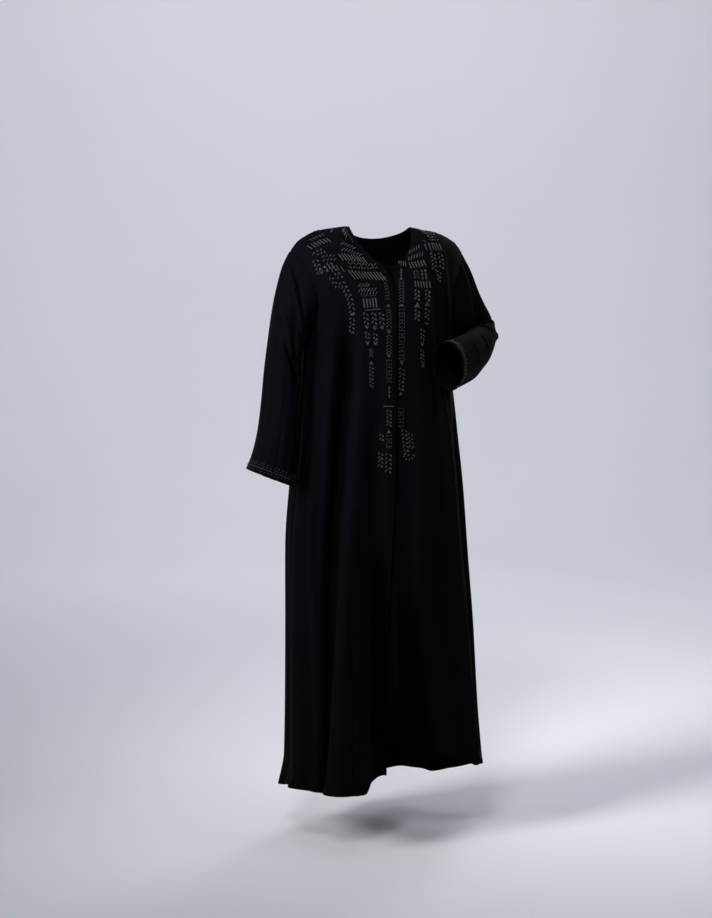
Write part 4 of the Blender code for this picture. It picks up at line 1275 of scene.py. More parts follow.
def left_yoke():
    """The lines of the wearer's left half, which the arm and the folds partly cover."""
    def line(corners, measured=False):
        return StitchedLine("front_left", corners, measured)

    yield (
        line(LEFT_EDGE)
        .row(76.5, -7, 11, 4, length=14, width=2.7, pitch=6.0).diamonds(92, 118, pitch=7.4, size=6.0)
        .chevrons(118, 174).triangle(181, length=7.5, width=17).ladder(188, 313)
        .heart(320).leaves(329, 384, pitch=9.4).triangle(392, width=10).ladder(424, 472)
        .leaves(476, 540, across=7, pitch=9.6, half=5.0)
        .leaves(486, 530, across=22, pitch=10.2, half=4.2, length=7.8, width=3.2)
        .sprig(538, across=12, reach=25)
    )
    yield (
        line(straight_line(22.0, 0.02, 0.9))
        .row(47, -12, 22, -38, length=12, width=2.2).row(60, -24, 16, -38, length=13, width=2.2)
        .row(80, -28, 16, 8, length=17, width=3.0, pitch=7.4).chevrons(96, 120, across=-18)
        .diamonds(94, 120, across=-3, size=6).diamonds(94, 120, across=6, size=6)
        .row(131, -22, 16, 6, length=16, width=3.0, pitch=7.2)
    )
    for angle, tree_at, low in ((16.6, 180, 222), (25.0, 177, 218)):
        column = line(straight_line(angle, 0.30, 1.16))
        column.leaves(142, 168, pitch=9.6, half=4.4, length=8.0, width=4.4)
        column.triangle(tree_at, length=14.5, width=13)
        column.leaves(tree_at + 10, low, pitch=9.4, half=4.4, length=8.0, width=4.2)
        if angle > 20:
            column.triangle(226, length=7.5, width=14, turn=0)
        yield column
    yield (
        line(straight_line(21.2, 0.7, 1.2))
        .leaves(236, 266, pitch=9.4, half=3.8, length=8, width=3.6).heart(276)
        .leaves(286, 318, pitch=9.0, half=3.4, length=7.4, width=3.2).triangle(326, width=9)
    )
    yield (
        line(LEFT_BLOCK, measured=True)
        .zigzag_rows((8, 18, 28, 38, 48), -20, 20)
        .row(70, -22, 20, 4, length=22, width=2.8, pitch=7.8)
        .leaves(86, 134, across=-11).leaves(86, 132, across=10.5)
        .leaves(134, 164, across=2, pitch=9.8, half=4.2, width=3.6)
    )


CuffRow = namedtuple("CuffRow", "from_edge pitch lean length width kind shift")
CUFF_ROWS = (
    CuffRow(6.0, 8.4, 20, 4.6, 1.4, "bar", 0),
    CuffRow(12.5, 9.6, 42, 6.4, 1.7, "leaf", 0),
    CuffRow(12.5, 9.6, 138, 6.4, 1.7, "leaf", 0.5),
    CuffRow(19.0, 8.4, 0, 4.4, 1.3, "bar", 0.3),
    CuffRow(24.5, 9.6, 35, 4.8, 1.5, "leaf", 0.2),
)
CUFF_STITCH_RISE = STITCH_RISE * 0.8


def cuff_border(name):
    """The rows of stitches round a cuff, each as points, normals, directions, sizes and kinds."""
    _, _, points, normal = sleeve_grid(name)
    from_cuff = run(points, 0, back=True)
    points = points + normal * (WALL / 2)
    closed, closed_normal, distance = (
        np.concatenate([a, a[:, :1]], axis=1) for a in (points, normal, from_cuff)
    )

    def ring(values, d):
        """The values all round the sleeve at a distance from the cuff's edge."""
        columns = range(values.shape[1])
        return np.array([sampled(d, distance[::-1, c], values[::-1, c]) for c in columns])

    for row in CUFF_ROWS:
        p, n = ring(closed, row.from_edge / 1000), unit(ring(closed_normal, row.from_edge / 1000))
        lengths = run(p, 0)
        count = int(lengths[-1] / (row.pitch * MM))
        at = (np.arange(count) + row.shift) * lengths[-1] / count
        here, out = sampled(at, lengths, p), unit(sampled(at, lengths, n))
        ahead = level(sampled((at + 0.002) % lengths[-1], lengths, p) - here, out)
        a = math.radians(row.lean)
        facing = ahead * math.cos(a) + np.cross(out, ahead) * math.sin(a)
        size = np.tile([row.length * MM, row.width * MM, CUFF_STITCH_RISE], (count, 1))
        yield here, out, facing, size, np.array([row.kind] * count)


def gathered(parts):
    """Several sets of stitches as one."""
    return [np.concatenate(values) for values in zip(*parts)]


RAY_START = 0.012
RAY_REACH = 0.03


def on_cloth(cloth, points, normals):
    """The points moved along their normals onto the finished cloth, with a mask of those that meet it."""
    tree = BVHTree.FromPolygons(
        [v.co for v in cloth.data.vertices], [tuple(p.vertices) for p in cloth.data.polygons]
    )
    moved, met = points.copy(), np.zeros(len(points), bool)
    for i, (p, n) in enumerate(zip(points, normals)):
        hit, _, _, _ = tree.ray_cast(Vector(p) + Vector(n) * RAY_START, -Vector(n), RAY_REACH)
        if hit is not None:
            moved[i], met[i] = hit, True
    return moved, met


# ---------------------------------------------------------------------------------------------
# Nodes


def new_group(name, kind, inputs, outputs):
    """A node group with inputs (name, socket type, default) and outputs (name, socket type)."""
    tree = bpy.data.node_groups.new(name, kind)
    ids = {}
    for key, socket_type, default in inputs:
        socket = tree.interface.new_socket(key, in_out="INPUT", socket_type=socket_type)
        if default is not None:
            socket.default_value = default
        ids[key] = socket.identifier
    for key, socket_type in outputs:
        tree.interface.new_socket(key, in_out="OUTPUT", socket_type=socket_type)
    return tree, tree.nodes.new("NodeGroupInput"), tree.nodes.new("NodeGroupOutput"), ids


def wire(tree, *links):
    for source, target in links:
        tree.links.new(source, target)


def add(tree, kind, **values):
    """A node with its settings and unlinked inputs set by name, where _ stands for a space."""
    node = tree.nodes.new(kind)
    for key, value in values.items():
        if hasattr(node, key):
            setattr(node, key, value)
        else:
            node.inputs[key.replace("_", " ")].default_value = value
    return node


def math_node(tree, operation, a, b=None):
    node = add(tree, "ShaderNodeMath", operation=operation)
    for socket, value in zip(node.inputs, (a, b)):
        if value is None:
            continue
        if isinstance(value, (int, float)):
            socket.default_value = value
        else:
            tree.links.new(value, socket)
    return node.outputs[0]


# ---------------------------------------------------------------------------------------------
# The shapes of one stitch, along X, and the trees that set them

HALF_OUTLINES = {  # one side of each shape; the other mirrors it
    "leaf": ((0.5, 0), (0.30, 0.34), (0.0, 0.5), (-0.30, 0.34), (-0.5, 0)),
    "bar": ((0.5, 0.28), (0.38, 0.5), (-0.38, 0.5), (-0.5, 0.28)),
    "diamond": ((0.5, 0), (0.25, 0.25), (0, 0.5), (-0.25, 0.25), (-0.5, 0)),
    "triangle": ((0.5, 0), (0.05, 0.24), (-0.4, 0.5), (-0.5, 0.4), (-0.46, 0)),
    "dot": ((0.5, 0), (0.35, 0.35), (0, 0.5), (-0.35, 0.35), (-0.5, 0)),
}
PILLOW = ((1.0, -0.6), (0.98, 0.25), (0.80, 0.78), (0.42, 1.0))  # share of the outline, height


def tube_faces(rings, sides):
    """The quads between rings of points."""
    return [
        (r * sides + c, r * sides + (c + 1) % sides, (r + 1) * sides + (c + 1) % sides, (r + 1) * sides + c)
        for r in range(rings - 1)
        for c in range(sides)
    ]


def pillow(kind):
    """A small domed shape of unit length, width and height."""
    half = HALF_OUTLINES[kind]
    outline = [*half, *((x, -y) for x, y in reversed(half) if y)]
    sides = len(outline)
    points = [(x * share, y * share, z) for share, z in PILLOW for x, y in outline]
    top = (len(PILLOW) - 1) * sides
    faces = tube_faces(len(PILLOW), sides)
    faces += [tuple(range(top, top + sides)), tuple(range(sides))[::-1]]
    mesh = bpy.data.meshes.new(f"stitch_{kind}")
    mesh.from_pydata(points, [], faces)
    mesh.shade_smooth()
    layer = mesh.uv_layers.new(name="UVMap")
    for loop in mesh.loops:
        x, y, _ = points[loop.vertex_index]
        layer.data[loop.index].uv = (x + 0.5, y + 0.5)
    return in_scene(mesh.name, mesh)


def named(tree, name):
    node = add(tree, "GeometryNodeInputNamedAttribute", data_type="FLOAT_VECTOR")
    node.inputs["Name"].default_value = name
    return node.outputs["Attribute"]


def uneven(tree, begin):
    """A random share around 1, from the tree's Unevenness and Seed."""
    draw = add(tree, "FunctionNodeRandomValue", data_type="FLOAT_VECTOR")
    for operation, key in (("SUBTRACT", "Min"), ("ADD", "Max")):
        end = math_node(tree, operation, 1.0, begin.outputs["Unevenness"])
        wire(tree, (end, draw.inputs[key]))
    wire(tree, (begin.outputs["Seed"], draw.inputs["Seed"]))
    return draw.outputs["Value"]


SHARED_SOCKETS = (
    ("Geometry", "NodeSocketGeometry", None),
    ("Shape", "NodeSocketObject", None),
    ("Thread", "NodeSocketMaterial", None),
    ("Unevenness", "NodeSocketFloat", 0.08),
    ("Seed", "NodeSocketInt", 0),
)
SEWING_SOCKETS = (
    ("Pitch", "NodeSocketFloat", 0.0036),
    ("Size", "NodeSocketVector", (0.003, 0.0006, 0.0003)),
)


def stitch_tree(name, own_sockets, source):
    """Sets one shape on each point, turned to lie on the cloth; source gives points, direction, size."""
    tree, begin, end, ids = new_group(
        name, "GeometryNodeTree", SHARED_SOCKETS + own_sockets, (("Geometry", "NodeSocketGeometry"),)
    )
    points, facing, point_size = source(tree, begin)
    set_on = add(tree, "GeometryNodeInstanceOnPoints")
    shape = add(tree, "GeometryNodeObjectInfo")
    turn = add(tree, "FunctionNodeAxesToRotation", primary_axis="Z", secondary_axis="X")
    size = add(tree, "ShaderNodeVectorMath", operation="MULTIPLY")
    real = add(tree, "GeometryNodeRealizeInstances")
    paint = add(tree, "GeometryNodeSetMaterial")
    wire(
        tree,
        (begin.outputs["Shape"], shape.inputs["Object"]),
        (points, set_on.inputs["Points"]),
        (shape.outputs["Geometry"], set_on.inputs["Instance"]),
        (named(tree, "up"), turn.inputs["Primary Axis"]),
        (facing, turn.inputs["Secondary Axis"]),
        (turn.outputs["Rotation"], set_on.inputs["Rotation"]),
        (point_size, size.inputs[0]),
        (uneven(tree, begin), size.inputs[1]),
        (size.outputs[0], set_on.inputs["Scale"]),
        (set_on.outputs[0], real.inputs[0]),
        (real.outputs[0], paint.inputs["Geometry"]),
        (begin.outputs["Thread"], paint.inputs["Material"]),
        (paint.outputs[0], end.inputs[0]),
    )
    return tree, ids


def on_points(tree, begin):
    """Satin stitches: each point's own direction and size."""
    return begin.outputs["Geometry"], named(tree, "facing"), named(tree, "size")


def along_edges(tree, begin):
    """Sewing: points at one pitch along a line of edges, with one size for all."""
    curve = add(tree, "GeometryNodeMeshToCurve")
    even = add(tree, "GeometryNodeResampleCurve", mode="LENGTH")
    wire(
        tree,
        (begin.outputs["Geometry"], curve.inputs["Mesh"]),
        (curve.outputs[0], even.inputs["Curve"]),
        (begin.outputs["Pitch"], even.inputs["Length"]),
    )
    return even.outputs[0], add(tree, "GeometryNodeInputTangent").outputs[0], begin.outputs["Size"]


def grown(points, attributes, tree, ids, edges=(), **inputs):
    """The plain mesh that a tree grows on points and edges."""
    mesh = bpy.data.meshes.new("grown")
    mesh.from_pydata(points.tolist(), edges, [])
    for key, values in attributes.items():
        layer = mesh.attributes.new(key, "FLOAT_VECTOR", "POINT")
        layer.data.foreach_set("vector", np.asarray(values, np.float32).ravel())
    obj = in_scene("grown", mesh)
    modifier = obj.modifiers.new("grow", "NODES")
    modifier.node_group = tree
    for key, value in inputs.items():
        modifier[ids[key]] = value
    made = bpy.data.meshes.new_from_object(obj.evaluated_get(bpy.context.evaluated_depsgraph_get()))
    obj.modifiers.remove(modifier)
    bpy.data.objects.remove(obj)
    return made


def joined(name, meshes):
    """One object of several meshes that share one material."""
    whole = bmesh.new()
    for mesh in meshes:
        whole.from_mesh(mesh)
        bpy.data.meshes.remove(mesh)
    mesh = bpy.data.meshes.new(name)
    whole.to_mesh(mesh)
    whole.free()
    mesh.shade_smooth()
    return in_scene(name, mesh)


def stitched(name, cloth, stitches, thread):
    """One piece of satin stitching that lies on a piece of cloth."""
    points, up, facing, sizes, kinds = stitches
    points, met = on_cloth(cloth, points, up)
    tree, ids = stitch_tree("Satin stitches", (), on_points)
    meshes = []
    for kind in HALF_OUTLINES:
        chosen = met & (kinds == kind)
        if not chosen.any():
            continue
        shape = pillow(kind)
        own = {"up": up[chosen], "facing": facing[chosen], "size": sizes[chosen]}
        meshes.append(
            grown(
                points[chosen], own, tree, ids, Shape=shape, Thread=finish_named("yoke_thread"),
                Unevenness=thread.unevenness, Seed=thread.seed + len(meshes),
            )
        )
        bpy.data.objects.remove(shape)
    bpy.data.node_groups.remove(tree)
    return joined(name, meshes)


PITCH_SHARE = 1.22  # a sewing stitch's pitch, width and height, as shares of its length
WIDTH_SHARE = 0.24
HEIGHT_SHARE = 0.13


def sewn(name, lines, thread):
    """Sewing along polylines of (points, normals, closed)."""
    tree, ids = stitch_tree("Sewing line", SEWING_SOCKETS, along_edges)
    shape = pillow("leaf")
    long = thread.stitch_length
    meshes = []
    for points, up, closed in lines:
        edges = [(i, i + 1) for i in range(len(points) - 1)] + ([(len(points) - 1, 0)] if closed else [])
        meshes.append(
            grown(
                points, {"up": up}, tree, ids, edges=edges, Shape=shape,
                Thread=finish_named("sewing_thread"), Unevenness=thread.unevenness,
                Seed=thread.seed + len(meshes), Pitch=long * PITCH_SHARE,
                Size=(long, long * WIDTH_SHARE, long * HEIGHT_SHARE),
            )
        )
    bpy.data.objects.remove(shape)
    bpy.data.node_groups.remove(tree)
    return joined(name, meshes)


# ---------------------------------------------------------------------------------------------
# Materials


FLOAT = "NodeSocketFloat"


def crepe_grain_group():
    """Crepe's pebbled grain over its weave, from a UV map in metres: a height and a mask."""
    tree, begin, end, _ = new_group(
        "Crepe grain",
        "ShaderNodeTree",
        (("Vector", "NodeSocketVector", (0.0, 0.0, 0.0)), ("Pebble size", FLOAT, 0.0011),
         ("Thread size", FLOAT, 0.00042)),
        (("Height", FLOAT), ("Mask", FLOAT)),
    )
    per_pebble = math_node(tree, "DIVIDE", 1.0, begin.outputs["Pebble size"])
    per_thread = math_node(tree, "DIVIDE", 2 * math.pi, begin.outputs["Thread size"])
    scaled = add(tree, "ShaderNodeVectorMath", operation="SCALE")
    pebble = add(tree, "ShaderNodeTexNoise", Detail=3.0, Roughness=0.62, Distortion=0.6, Scale=1.0)
    parts = add(tree, "ShaderNodeSeparateXYZ")
    wire(
        tree,
        (begin.outputs["Vector"], scaled.inputs[0]),
        (per_pebble, scaled.inputs["Scale"]),
        (scaled.outputs[0], pebble.inputs["Vector"]),
        (begin.outputs["Vector"], parts.inputs[0]),
    )
    warp = math_node(tree, "SINE", math_node(tree, "MULTIPLY", parts.outputs["X"], per_thread))
    weft = math_node(tree, "SINE", math_node(tree, "MULTIPLY", parts.outputs["Y"], per_thread))
    weave = math_node(tree, "MULTIPLY", math_node(tree, "MULTIPLY", warp, weft), 0.22)
    height = math_node(tree, "ADD", pebble.outputs["Fac"], weave)
    wire(tree, (height, end.inputs["Height"]), (pebble.outputs["Fac"], end.inputs["Mask"]))
    return tree


def soft_wear_group():
    """Uneven tone: broad handling marks, and cloth that is a little paler along its worn ridges."""
    tree, begin, end, _ = new_group(
        "Soft wear",
        "ShaderNodeTree",
        (("Patch size", FLOAT, 0.12), ("Ridge share", FLOAT, 0.35)),
        (("Patches", FLOAT), ("Ridges", FLOAT)),
    )
    place, worn = add(tree, "ShaderNodeTexCoord"), add(tree, "ShaderNodeNewGeometry")
    scale = math_node(tree, "DIVIDE", 1.0, begin.outputs["Patch size"])
    patches = add(tree, "ShaderNodeTexNoise", Detail=4.0, Roughness=0.55)
    ridge = ranged(tree, worn.outputs["Pointiness"], 0.50, 0.58, 0.0, 1.0)
    wire(
        tree,
        (place.outputs["Object"], patches.inputs["Vector"]),
        (scale, patches.inputs["Scale"]),
        (patches.outputs["Fac"], end.inputs["Patches"]),
        (math_node(tree, "MULTIPLY", ridge, begin.outputs["Ridge share"]), end.inputs["Ridges"]),
    )
    return tree


def shared(tree, name, **values):
    """One of the shared node groups, placed in a material's tree."""
    if name not in bpy.data.node_groups:
        SHARED_GROUPS[name]()
    node = add(tree, "ShaderNodeGroup", node_tree=bpy.data.node_groups[name])
    for key, value in values.items():
        node.inputs[key.replace("_", " ")].default_value = value
    return node


SHARED_GROUPS = {"Crepe grain": crepe_grain_group, "Soft wear": soft_wear_group}


def mixed(tree, factor, a, b):
    """A colour mix; a and b are colours or sockets."""
    node = add(tree, "ShaderNodeMix", data_type="RGBA")
    for key, value in (("Factor", factor), ("A", a), ("B", b)):
        socket = [s for s in node.inputs if s.name == key and s.enabled][0]
        if isinstance(value, bpy.types.NodeSocket):
            tree.links.new(value, socket)
        else:
            socket.default_value = value if key == "Factor" else (*value, 1.0)
    return [s for s in node.outputs if s.enabled][0]


def ranged(tree, value, low, high, to_low, to_high):
    node = add(tree, "ShaderNodeMapRange")
    wire(tree, (value, node.inputs["Value"]))
    for key, number in zip(("From Min", "From Max", "To Min", "To Max"), (low, high, to_low, to_high)):
        node.inputs[key].default_value = number
    return node.outputs["Result"]


def times(share, colour):
    return tuple(share * c for c in colour)


def new_material(name, **values):
    """(material, tree, shader) with the shader's inputs set by name, where _ stands for a space."""
    made = bpy.data.materials.new(name)
    made.use_nodes = True
    shader = made.node_tree.nodes["Principled BSDF"]
    for key, value in values.items():
        shader.inputs[key.replace("_", " ")].default_value = value
    return made, made.node_tree, shader


def finish_shader(tree, shader, colour, rough, height, strength, distance):
    """Wires a material's colour, roughness and bump."""
    bumped = add(tree, "ShaderNodeBump", Strength=strength, Distance=distance)
    wire(
        tree,
        (colour, shader.inputs["Base Color"]),
        (rough, shader.inputs["Roughness"]),
        (height, bumped.inputs["Height"]),
        (bumped.outputs["Normal"], shader.inputs["Normal"]),
    )


CREPE_PALER = 1.7  # its handled patches and pebbles, as a share of the crepe's own colour
RIDGE_PALER = 2.2  # its worn ridges
PAINTED_SHADE_DARKER = 0.18  # its painted shade in the deepest hollows and beside the lapped edge
THREAD_DARKER = 0.45  # between a thread's strands, as a share of its own colour


def crepe_material(sizes):
    made, tree, shader = new_material(
        "black_crepe", Specular_IOR_Level=0.016, Sheen_Weight=sizes.sheen, Sheen_Roughness=0.42,
        Sheen_Tint=(0.80, 0.84, 1.0, 1.0),
    )
    uv = add(tree, "ShaderNodeUVMap", uv_map="UVMap")
    grain = shared(tree, "Crepe grain", Pebble_size=sizes.grain_size)
    wire(tree, (uv.outputs["UV"], grain.inputs["Vector"]))
    wear = shared(tree, "Soft wear")
    # the hollow attribute carries painted shade for folds and a painted shadow beside the lapped front edge
    hollow = add(tree, "ShaderNodeAttribute", attribute_name="hollow")
    black = tuple(sizes.crepe_colour)
    patches = ranged(tree, wear.outputs["Patches"], 0.35, 0.65, 0.0, 0.5)
    pebbles = ranged(tree, grain.outputs["Mask"], 0.35, 0.7, 0.0, 0.45)
    colour = mixed(tree, patches, black, times(CREPE_PALER, black))
    colour = mixed(tree, pebbles, colour, times(CREPE_PALER, black))
    colour = mixed(tree, wear.outputs["Ridges"], colour, times(RIDGE_PALER, black))
    # painted shade: the crepe's colour mixed towards black in the hollows
    colour = mixed(tree, hollow.outputs["Fac"], colour, times(PAINTED_SHADE_DARKER, black))
    rough = ranged(tree, grain.outputs["Mask"], 0.3, 0.7, 0.66, 0.86)
    finish_shader(tree, shader, colour, rough, grain.outputs["Height"], strength=0.55, distance=0.0005)
    return made


def thread_material(name, colour, rough, threads, gloss):
    """Thread laid side by side; the UV map's U counts along the stitch."""
    made, tree, shader = new_material(
        name, Specular_IOR_Level=gloss, Sheen_Weight=0.3 * gloss, Sheen_Roughness=0.3
    )
    uv, parts = add(tree, "ShaderNodeUVMap", uv_map="UVMap"), add(tree, "ShaderNodeSeparateXYZ")
    wire(tree, (uv.outputs["UV"], parts.inputs[0]))
    line = math_node(tree, "MULTIPLY", parts.outputs["X"], threads * 2 * math.pi)
    lean = math_node(tree, "MULTIPLY", parts.outputs["Y"], 2.2)
    strand = math_node(tree, "SINE", math_node(tree, "ADD", line, lean))
    shade = ranged(tree, strand, -1.0, 1.0, 0.0, 1.0)
    wear = shared(tree, "Soft wear", Patch_size=0.02)
    dark = times(THREAD_DARKER, colour)
    tint = mixed(tree, shade, dark, colour)
    tint = mixed(tree, ranged(tree, wear.outputs["Patches"], 0.3, 0.7, 0.0, 0.6), tint, dark)
    sheen = ranged(tree, shade, 0.0, 1.0, rough + 0.18, rough)
    finish_shader(tree, shader, tint, sheen, strand, strength=0.5, distance=0.0002)
    return made


def finish_named(name):
    """The named finish, made on its first use."""
    if name in bpy.data.materials:
        return bpy.data.materials[name]
    threads = bpy.context.scene.abaya_thread
    if name == "black_crepe":
        return crepe_material(bpy.context.scene.abaya_cloth)
    if name == "yoke_thread":
        return thread_material(name, tuple(threads.yoke_colour), rough=0.34, threads=14.0, gloss=0.42)
    return thread_material(name, tuple(threads.sewing_colour), rough=0.5, threads=5.0, gloss=0.03)


# ---------------------------------------------------------------------------------------------
# Settings


class AbayaCloth(bpy.types.PropertyGroup):
    crepe_colour: FloatVectorProperty(
        name="Crepe colour", description="Base colour of the black crepe", subtype="COLOR",
        size=3, min=0.0, max=1.0, default=(0.0011, 0.00095, 0.0019),
    )
    grain_size: FloatProperty(
        name="Grain size", description="Size of the crepe's pebbles", subtype="DISTANCE",
        unit="LENGTH", min=0.0003, max=0.005, default=0.0011,
    )
    sheen: FloatProperty(
        name="Sheen", description="Strength of the crepe's soft sheen", subtype="FACTOR",
        min=0.0, max=1.0, default=0.004,
    )


class AbayaThread(bpy.types.PropertyGroup):
    yoke_colour: FloatVectorProperty(
        name="Yoke thread colour", description="Colour of the satin-stitched thread", subtype="COLOR",
        size=3, min=0.0, max=1.0, default=(0.0105, 0.0101, 0.0114),
    )
    sewing_colour: FloatVectorProperty(
        name="Sewing thread colour", description="Colour of the thread along the hems",
        subtype="COLOR", size=3, min=0.0, max=1.0, default=(0.0010, 0.0009, 0.0015),
    )
    stitch_length: FloatProperty(
        name="Stitch length", description="Length of one sewing stitch", subtype="DISTANCE",
        unit="LENGTH", min=0.001, max=0.01, default=0.0030,
    )
    unevenness: FloatProperty(
        name="Unevenness", description="How much the stitches' sizes vary", subtype="FACTOR",
        min=0.0, max=0.5, default=0.10,
    )
    seed: IntProperty(
        name="Unevenness seed", description="Seed of the stitches' small unevenness", default=5
    )


class AbayaStudio(bpy.types.PropertyGroup):
    floor_height: FloatProperty(
        name="Floor height", description="Height of the studio floor", subtype="DISTANCE",
        unit="LENGTH", default=-1.50,
    )
    backdrop_colour: FloatVectorProperty(
        name="Backdrop colour", description="Colour of the floor and backdrop", subtype="COLOR",
        size=3, min=0.0, max=1.0, default=(0.76, 0.76, 0.79),
    )
    camera_distance: FloatProperty(
        name="Camera distance", description="Level distance of the camera from the cloak's middle",
        subtype="DISTANCE", unit="LENGTH", default=4.05,
    )
    camera_turn: FloatProperty(
        name="Camera turn", description="Angle of the camera from the front, towards the wearer's right",
        subtype="ANGLE", default=math.radians(20.0),
    )


# ---------------------------------------------------------------------------------------------
# Pieces


def dress(obj, finish):
    obj.data.materials.clear()
    obj.data.materials.append(finish_named(finish))
    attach(obj, ROOT)


def cloth_piece(obj, node):
    """A piece of cloth that stands for a solid: dressed in crepe, with the solid hidden; its cut is read
    but not used.
    """
    dress(obj, "black_crepe")
    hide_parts(node)
    width, length, area = SHEETS[node]


class ABAYA_OT_body(bpy.types.Operator):
    """The back and the two fronts, with their creases and turned edges"""

    bl_idname = "abaya.body"
    bl_label = "Body panels"

    def execute(self, context):
        for panel in PANELS:
            cloth_piece(panel_shell(panel), panel)
        return {"FINISHED"}


class ABAYA_OT_sleeves(bpy.types.Operator):
    """The two sleeves, the left one bent at the elbow"""

    bl_idname = "abaya.sleeves"
    bl_label = "Sleeves"

    def execute(self, context):
        for name in SLEEVES:
            cloth_piece(sleeve_shell(name), name)
        return {"FINISHED"}


SHEETS = {  # the cut of each piece: its width and length in metres, and its area in square metres
    "back": (0.86, 1.42, 1.04),
    "front_right": (0.46, 1.36, 0.50),
    "front_left": (0.48, 1.34, 0.52),
    "sleeve_right": (0.48, 0.56, 0.21),
    "sleeve_left": (0.48, 0.56, 0.20),
}


class ABAYA_OT_stitching(bpy.types.Operator):
    """The satin-stitched yoke and the borders of the cuffs"""

    bl_idname = "abaya.stitching"
    bl_label = "Stitched yoke and cuffs"

    def execute(self, context):
        thread = context.scene.abaya_thread
        sets = (
            ("yoke_right", "cloth_front_right", (line.placed() for line in right_yoke())),
            ("yoke_left", "cloth_front_left", (line.placed() for line in left_yoke())),
            ("cuff_border_right", "cloth_sleeve_right", cuff_border("sleeve_right")),
            ("cuff_border_left", "cloth_sleeve_left", cuff_border("sleeve_left")),
        )
        for name, cloth, parts in sets:
            dress(stitched(name, bpy.data.objects[cloth], gathered(parts), thread), "yoke_thread")
        return {"FINISHED"}


class ABAYA_OT_sewing(bpy.types.Operator):
    """The sewing along the turned neck, front edges, hems and cuffs"""

    bl_idname = "abaya.sewing"
    bl_label = "Sewing"

    def execute(self, context):
        thread = context.scene.abaya_thread
        seams = [(panel, panel_seams(panel)) for panel in PANELS]
        for name, lines in seams + [(name, sleeve_seams(name)) for name in SLEEVES]:
            dress(sewn(f"sewing_{name}", lines, thread), "sewing_thread")
        return {"FINISHED"}


HEM_ROW, EDGE_COLUMN, CUFF_ROW = -8, 6, -7  # the grid's lines that carry the sewing


def panel_seams(panel):
    """The polylines of a panel's sewing: hem, front edge and neck."""
    _, _, normal = panel_grid(panel)
    outer, _, _, _, on_neck = panel_faces(panel)
    places = [HEM_ROW, (EDGE_COLUMN, on_neck[0])]
    if panel != "back":
        column = -1 - EDGE_COLUMN if panel == "front_right" else EDGE_COLUMN
        places.append((slice(EDGE_COLUMN, HEM_ROW + 1), column))
    return [(outer[place], normal[place], False) for place in places]


def sleeve_seams(name):
    return [(sleeve_faces(name)[0][CUFF_ROW], sleeve_grid(name)[3][CUFF_ROW], True)]


class ABAYA_OT_studio(bpy.types.Operator):
    """The pale floor and backdrop, the lights and the camera"""

    bl_idname = "abaya.studio"
    bl_label = "Studio"

    def execute(self, context):
        sizes = context.scene.abaya_studio
        studio_bowl(sizes)
        for light in LIGHTS:
            soft_light(light)
        world = bpy.data.worlds.new("studio_air")
        world.use_nodes = True
        air = world.node_tree.nodes["Background"].inputs
        air["Color"].default_value, air["Strength"].default_value = AIR_COLOUR, AIR_STRENGTH
        context.scene.world = world
        context.scene.view_settings.view_transform = "Standard"
        camera_for(sizes)
        return {"FINISHED"}


AIR_COLOUR = (0.80, 0.83, 0.92, 1.0)
AIR_STRENGTH = 0.34
BOWL_RADIUS = 7.5
BOWL_CORNER = 2.6
BOWL_HEIGHT = 5.5
BOWL_SIDES = 96
BOWL_RINGS = (0.02, 1.5, 3.0)  # radii of the flat floor's rings
BOWL_CORNER_ROWS = 13


def studio_bowl(sizes):
    """A round floor that curves up into a wall all round, so that every side has a backdrop."""
    turn = np.linspace(0, np.pi / 2, BOWL_CORNER_ROWS)
    corner = BOWL_RADIUS - BOWL_CORNER + BOWL_CORNER * np.sin(turn)
    radius = np.concatenate([BOWL_RINGS, corner, [BOWL_RADIUS]])
    height = np.concatenate([[0] * len(BOWL_RINGS), BOWL_CORNER * (1 - np.cos(turn)), [BOWL_HEIGHT]])
    a = np.linspace(0, 2 * np.pi, BOWL_SIDES, endpoint=False)
    points = [
        (r * np.cos(t), r * np.sin(t), sizes.floor_height + h) for r, h in zip(radius, height) for t in a
    ]
    faces = [f[::-1] for f in tube_faces(len(radius), BOWL_SIDES)] + [tuple(range(BOWL_SIDES))]
    mesh = bpy.data.meshes.new("studio_bowl")
    mesh.from_pydata(points, [], faces)
    mesh.shade_smooth()
    made, tree, shader = new_material("pale_paper", Roughness=0.9)
    place, cloud = add(tree, "ShaderNodeTexCoord"), add(tree, "ShaderNodeTexNoise", Scale=0.6, Detail=2.0)
    wire(tree, (place.outputs["Object"], cloud.inputs["Vector"]))
    pale = tuple(sizes.backdrop_colour)
    clouds = ranged(tree, cloud.outputs["Fac"], 0.3, 0.7, 0.0, 1.0)
    wire(tree, (mixed(tree, clouds, pale, times(0.97, pale)), shader.inputs["Base Color"]))
    mesh.materials.append(made)
    in_scene("studio_bowl", mesh)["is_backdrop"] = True


Light = namedtuple("Light", "name x y z aim_x aim_y aim_z width height watts spread red green blue")
LIGHTS = (
    Light("key", -3.1, -0.9, 1.3, 0.0, 0.0, -0.16, 1.2, 1.8, 19.5, 48, 1.0, 0.99, 0.98),
    Light("chest", -1.5, -2.6, 1.9, 0.0, 0.0, -0.10, 0.8, 0.8, 7, 45, 0.96, 0.97, 1.0),
    Light("fill", 2.8, -2.2, 0.9, 0.0, 0.0, -0.5, 1.6, 2.0, 4, 90, 0.92, 0.95, 1.0),
    Light("top", 0.3, 0.4, 3.2, 0.0, 0.0, -0.5, 2.6, 2.6, 22, 180, 0.97, 0.98, 1.0),
    Light("back wash", 0.9, 3.0, 2.9, 2.0, 6.6, 0.6, 2.4, 1.6, 125, 180, 0.96, 0.97, 1.0),
    Light("back rim", 2.4, 2.4, 1.4, 0.0, 0.0, -0.5, 1.4, 2.2, 9, 90, 0.95, 0.97, 1.0),
)


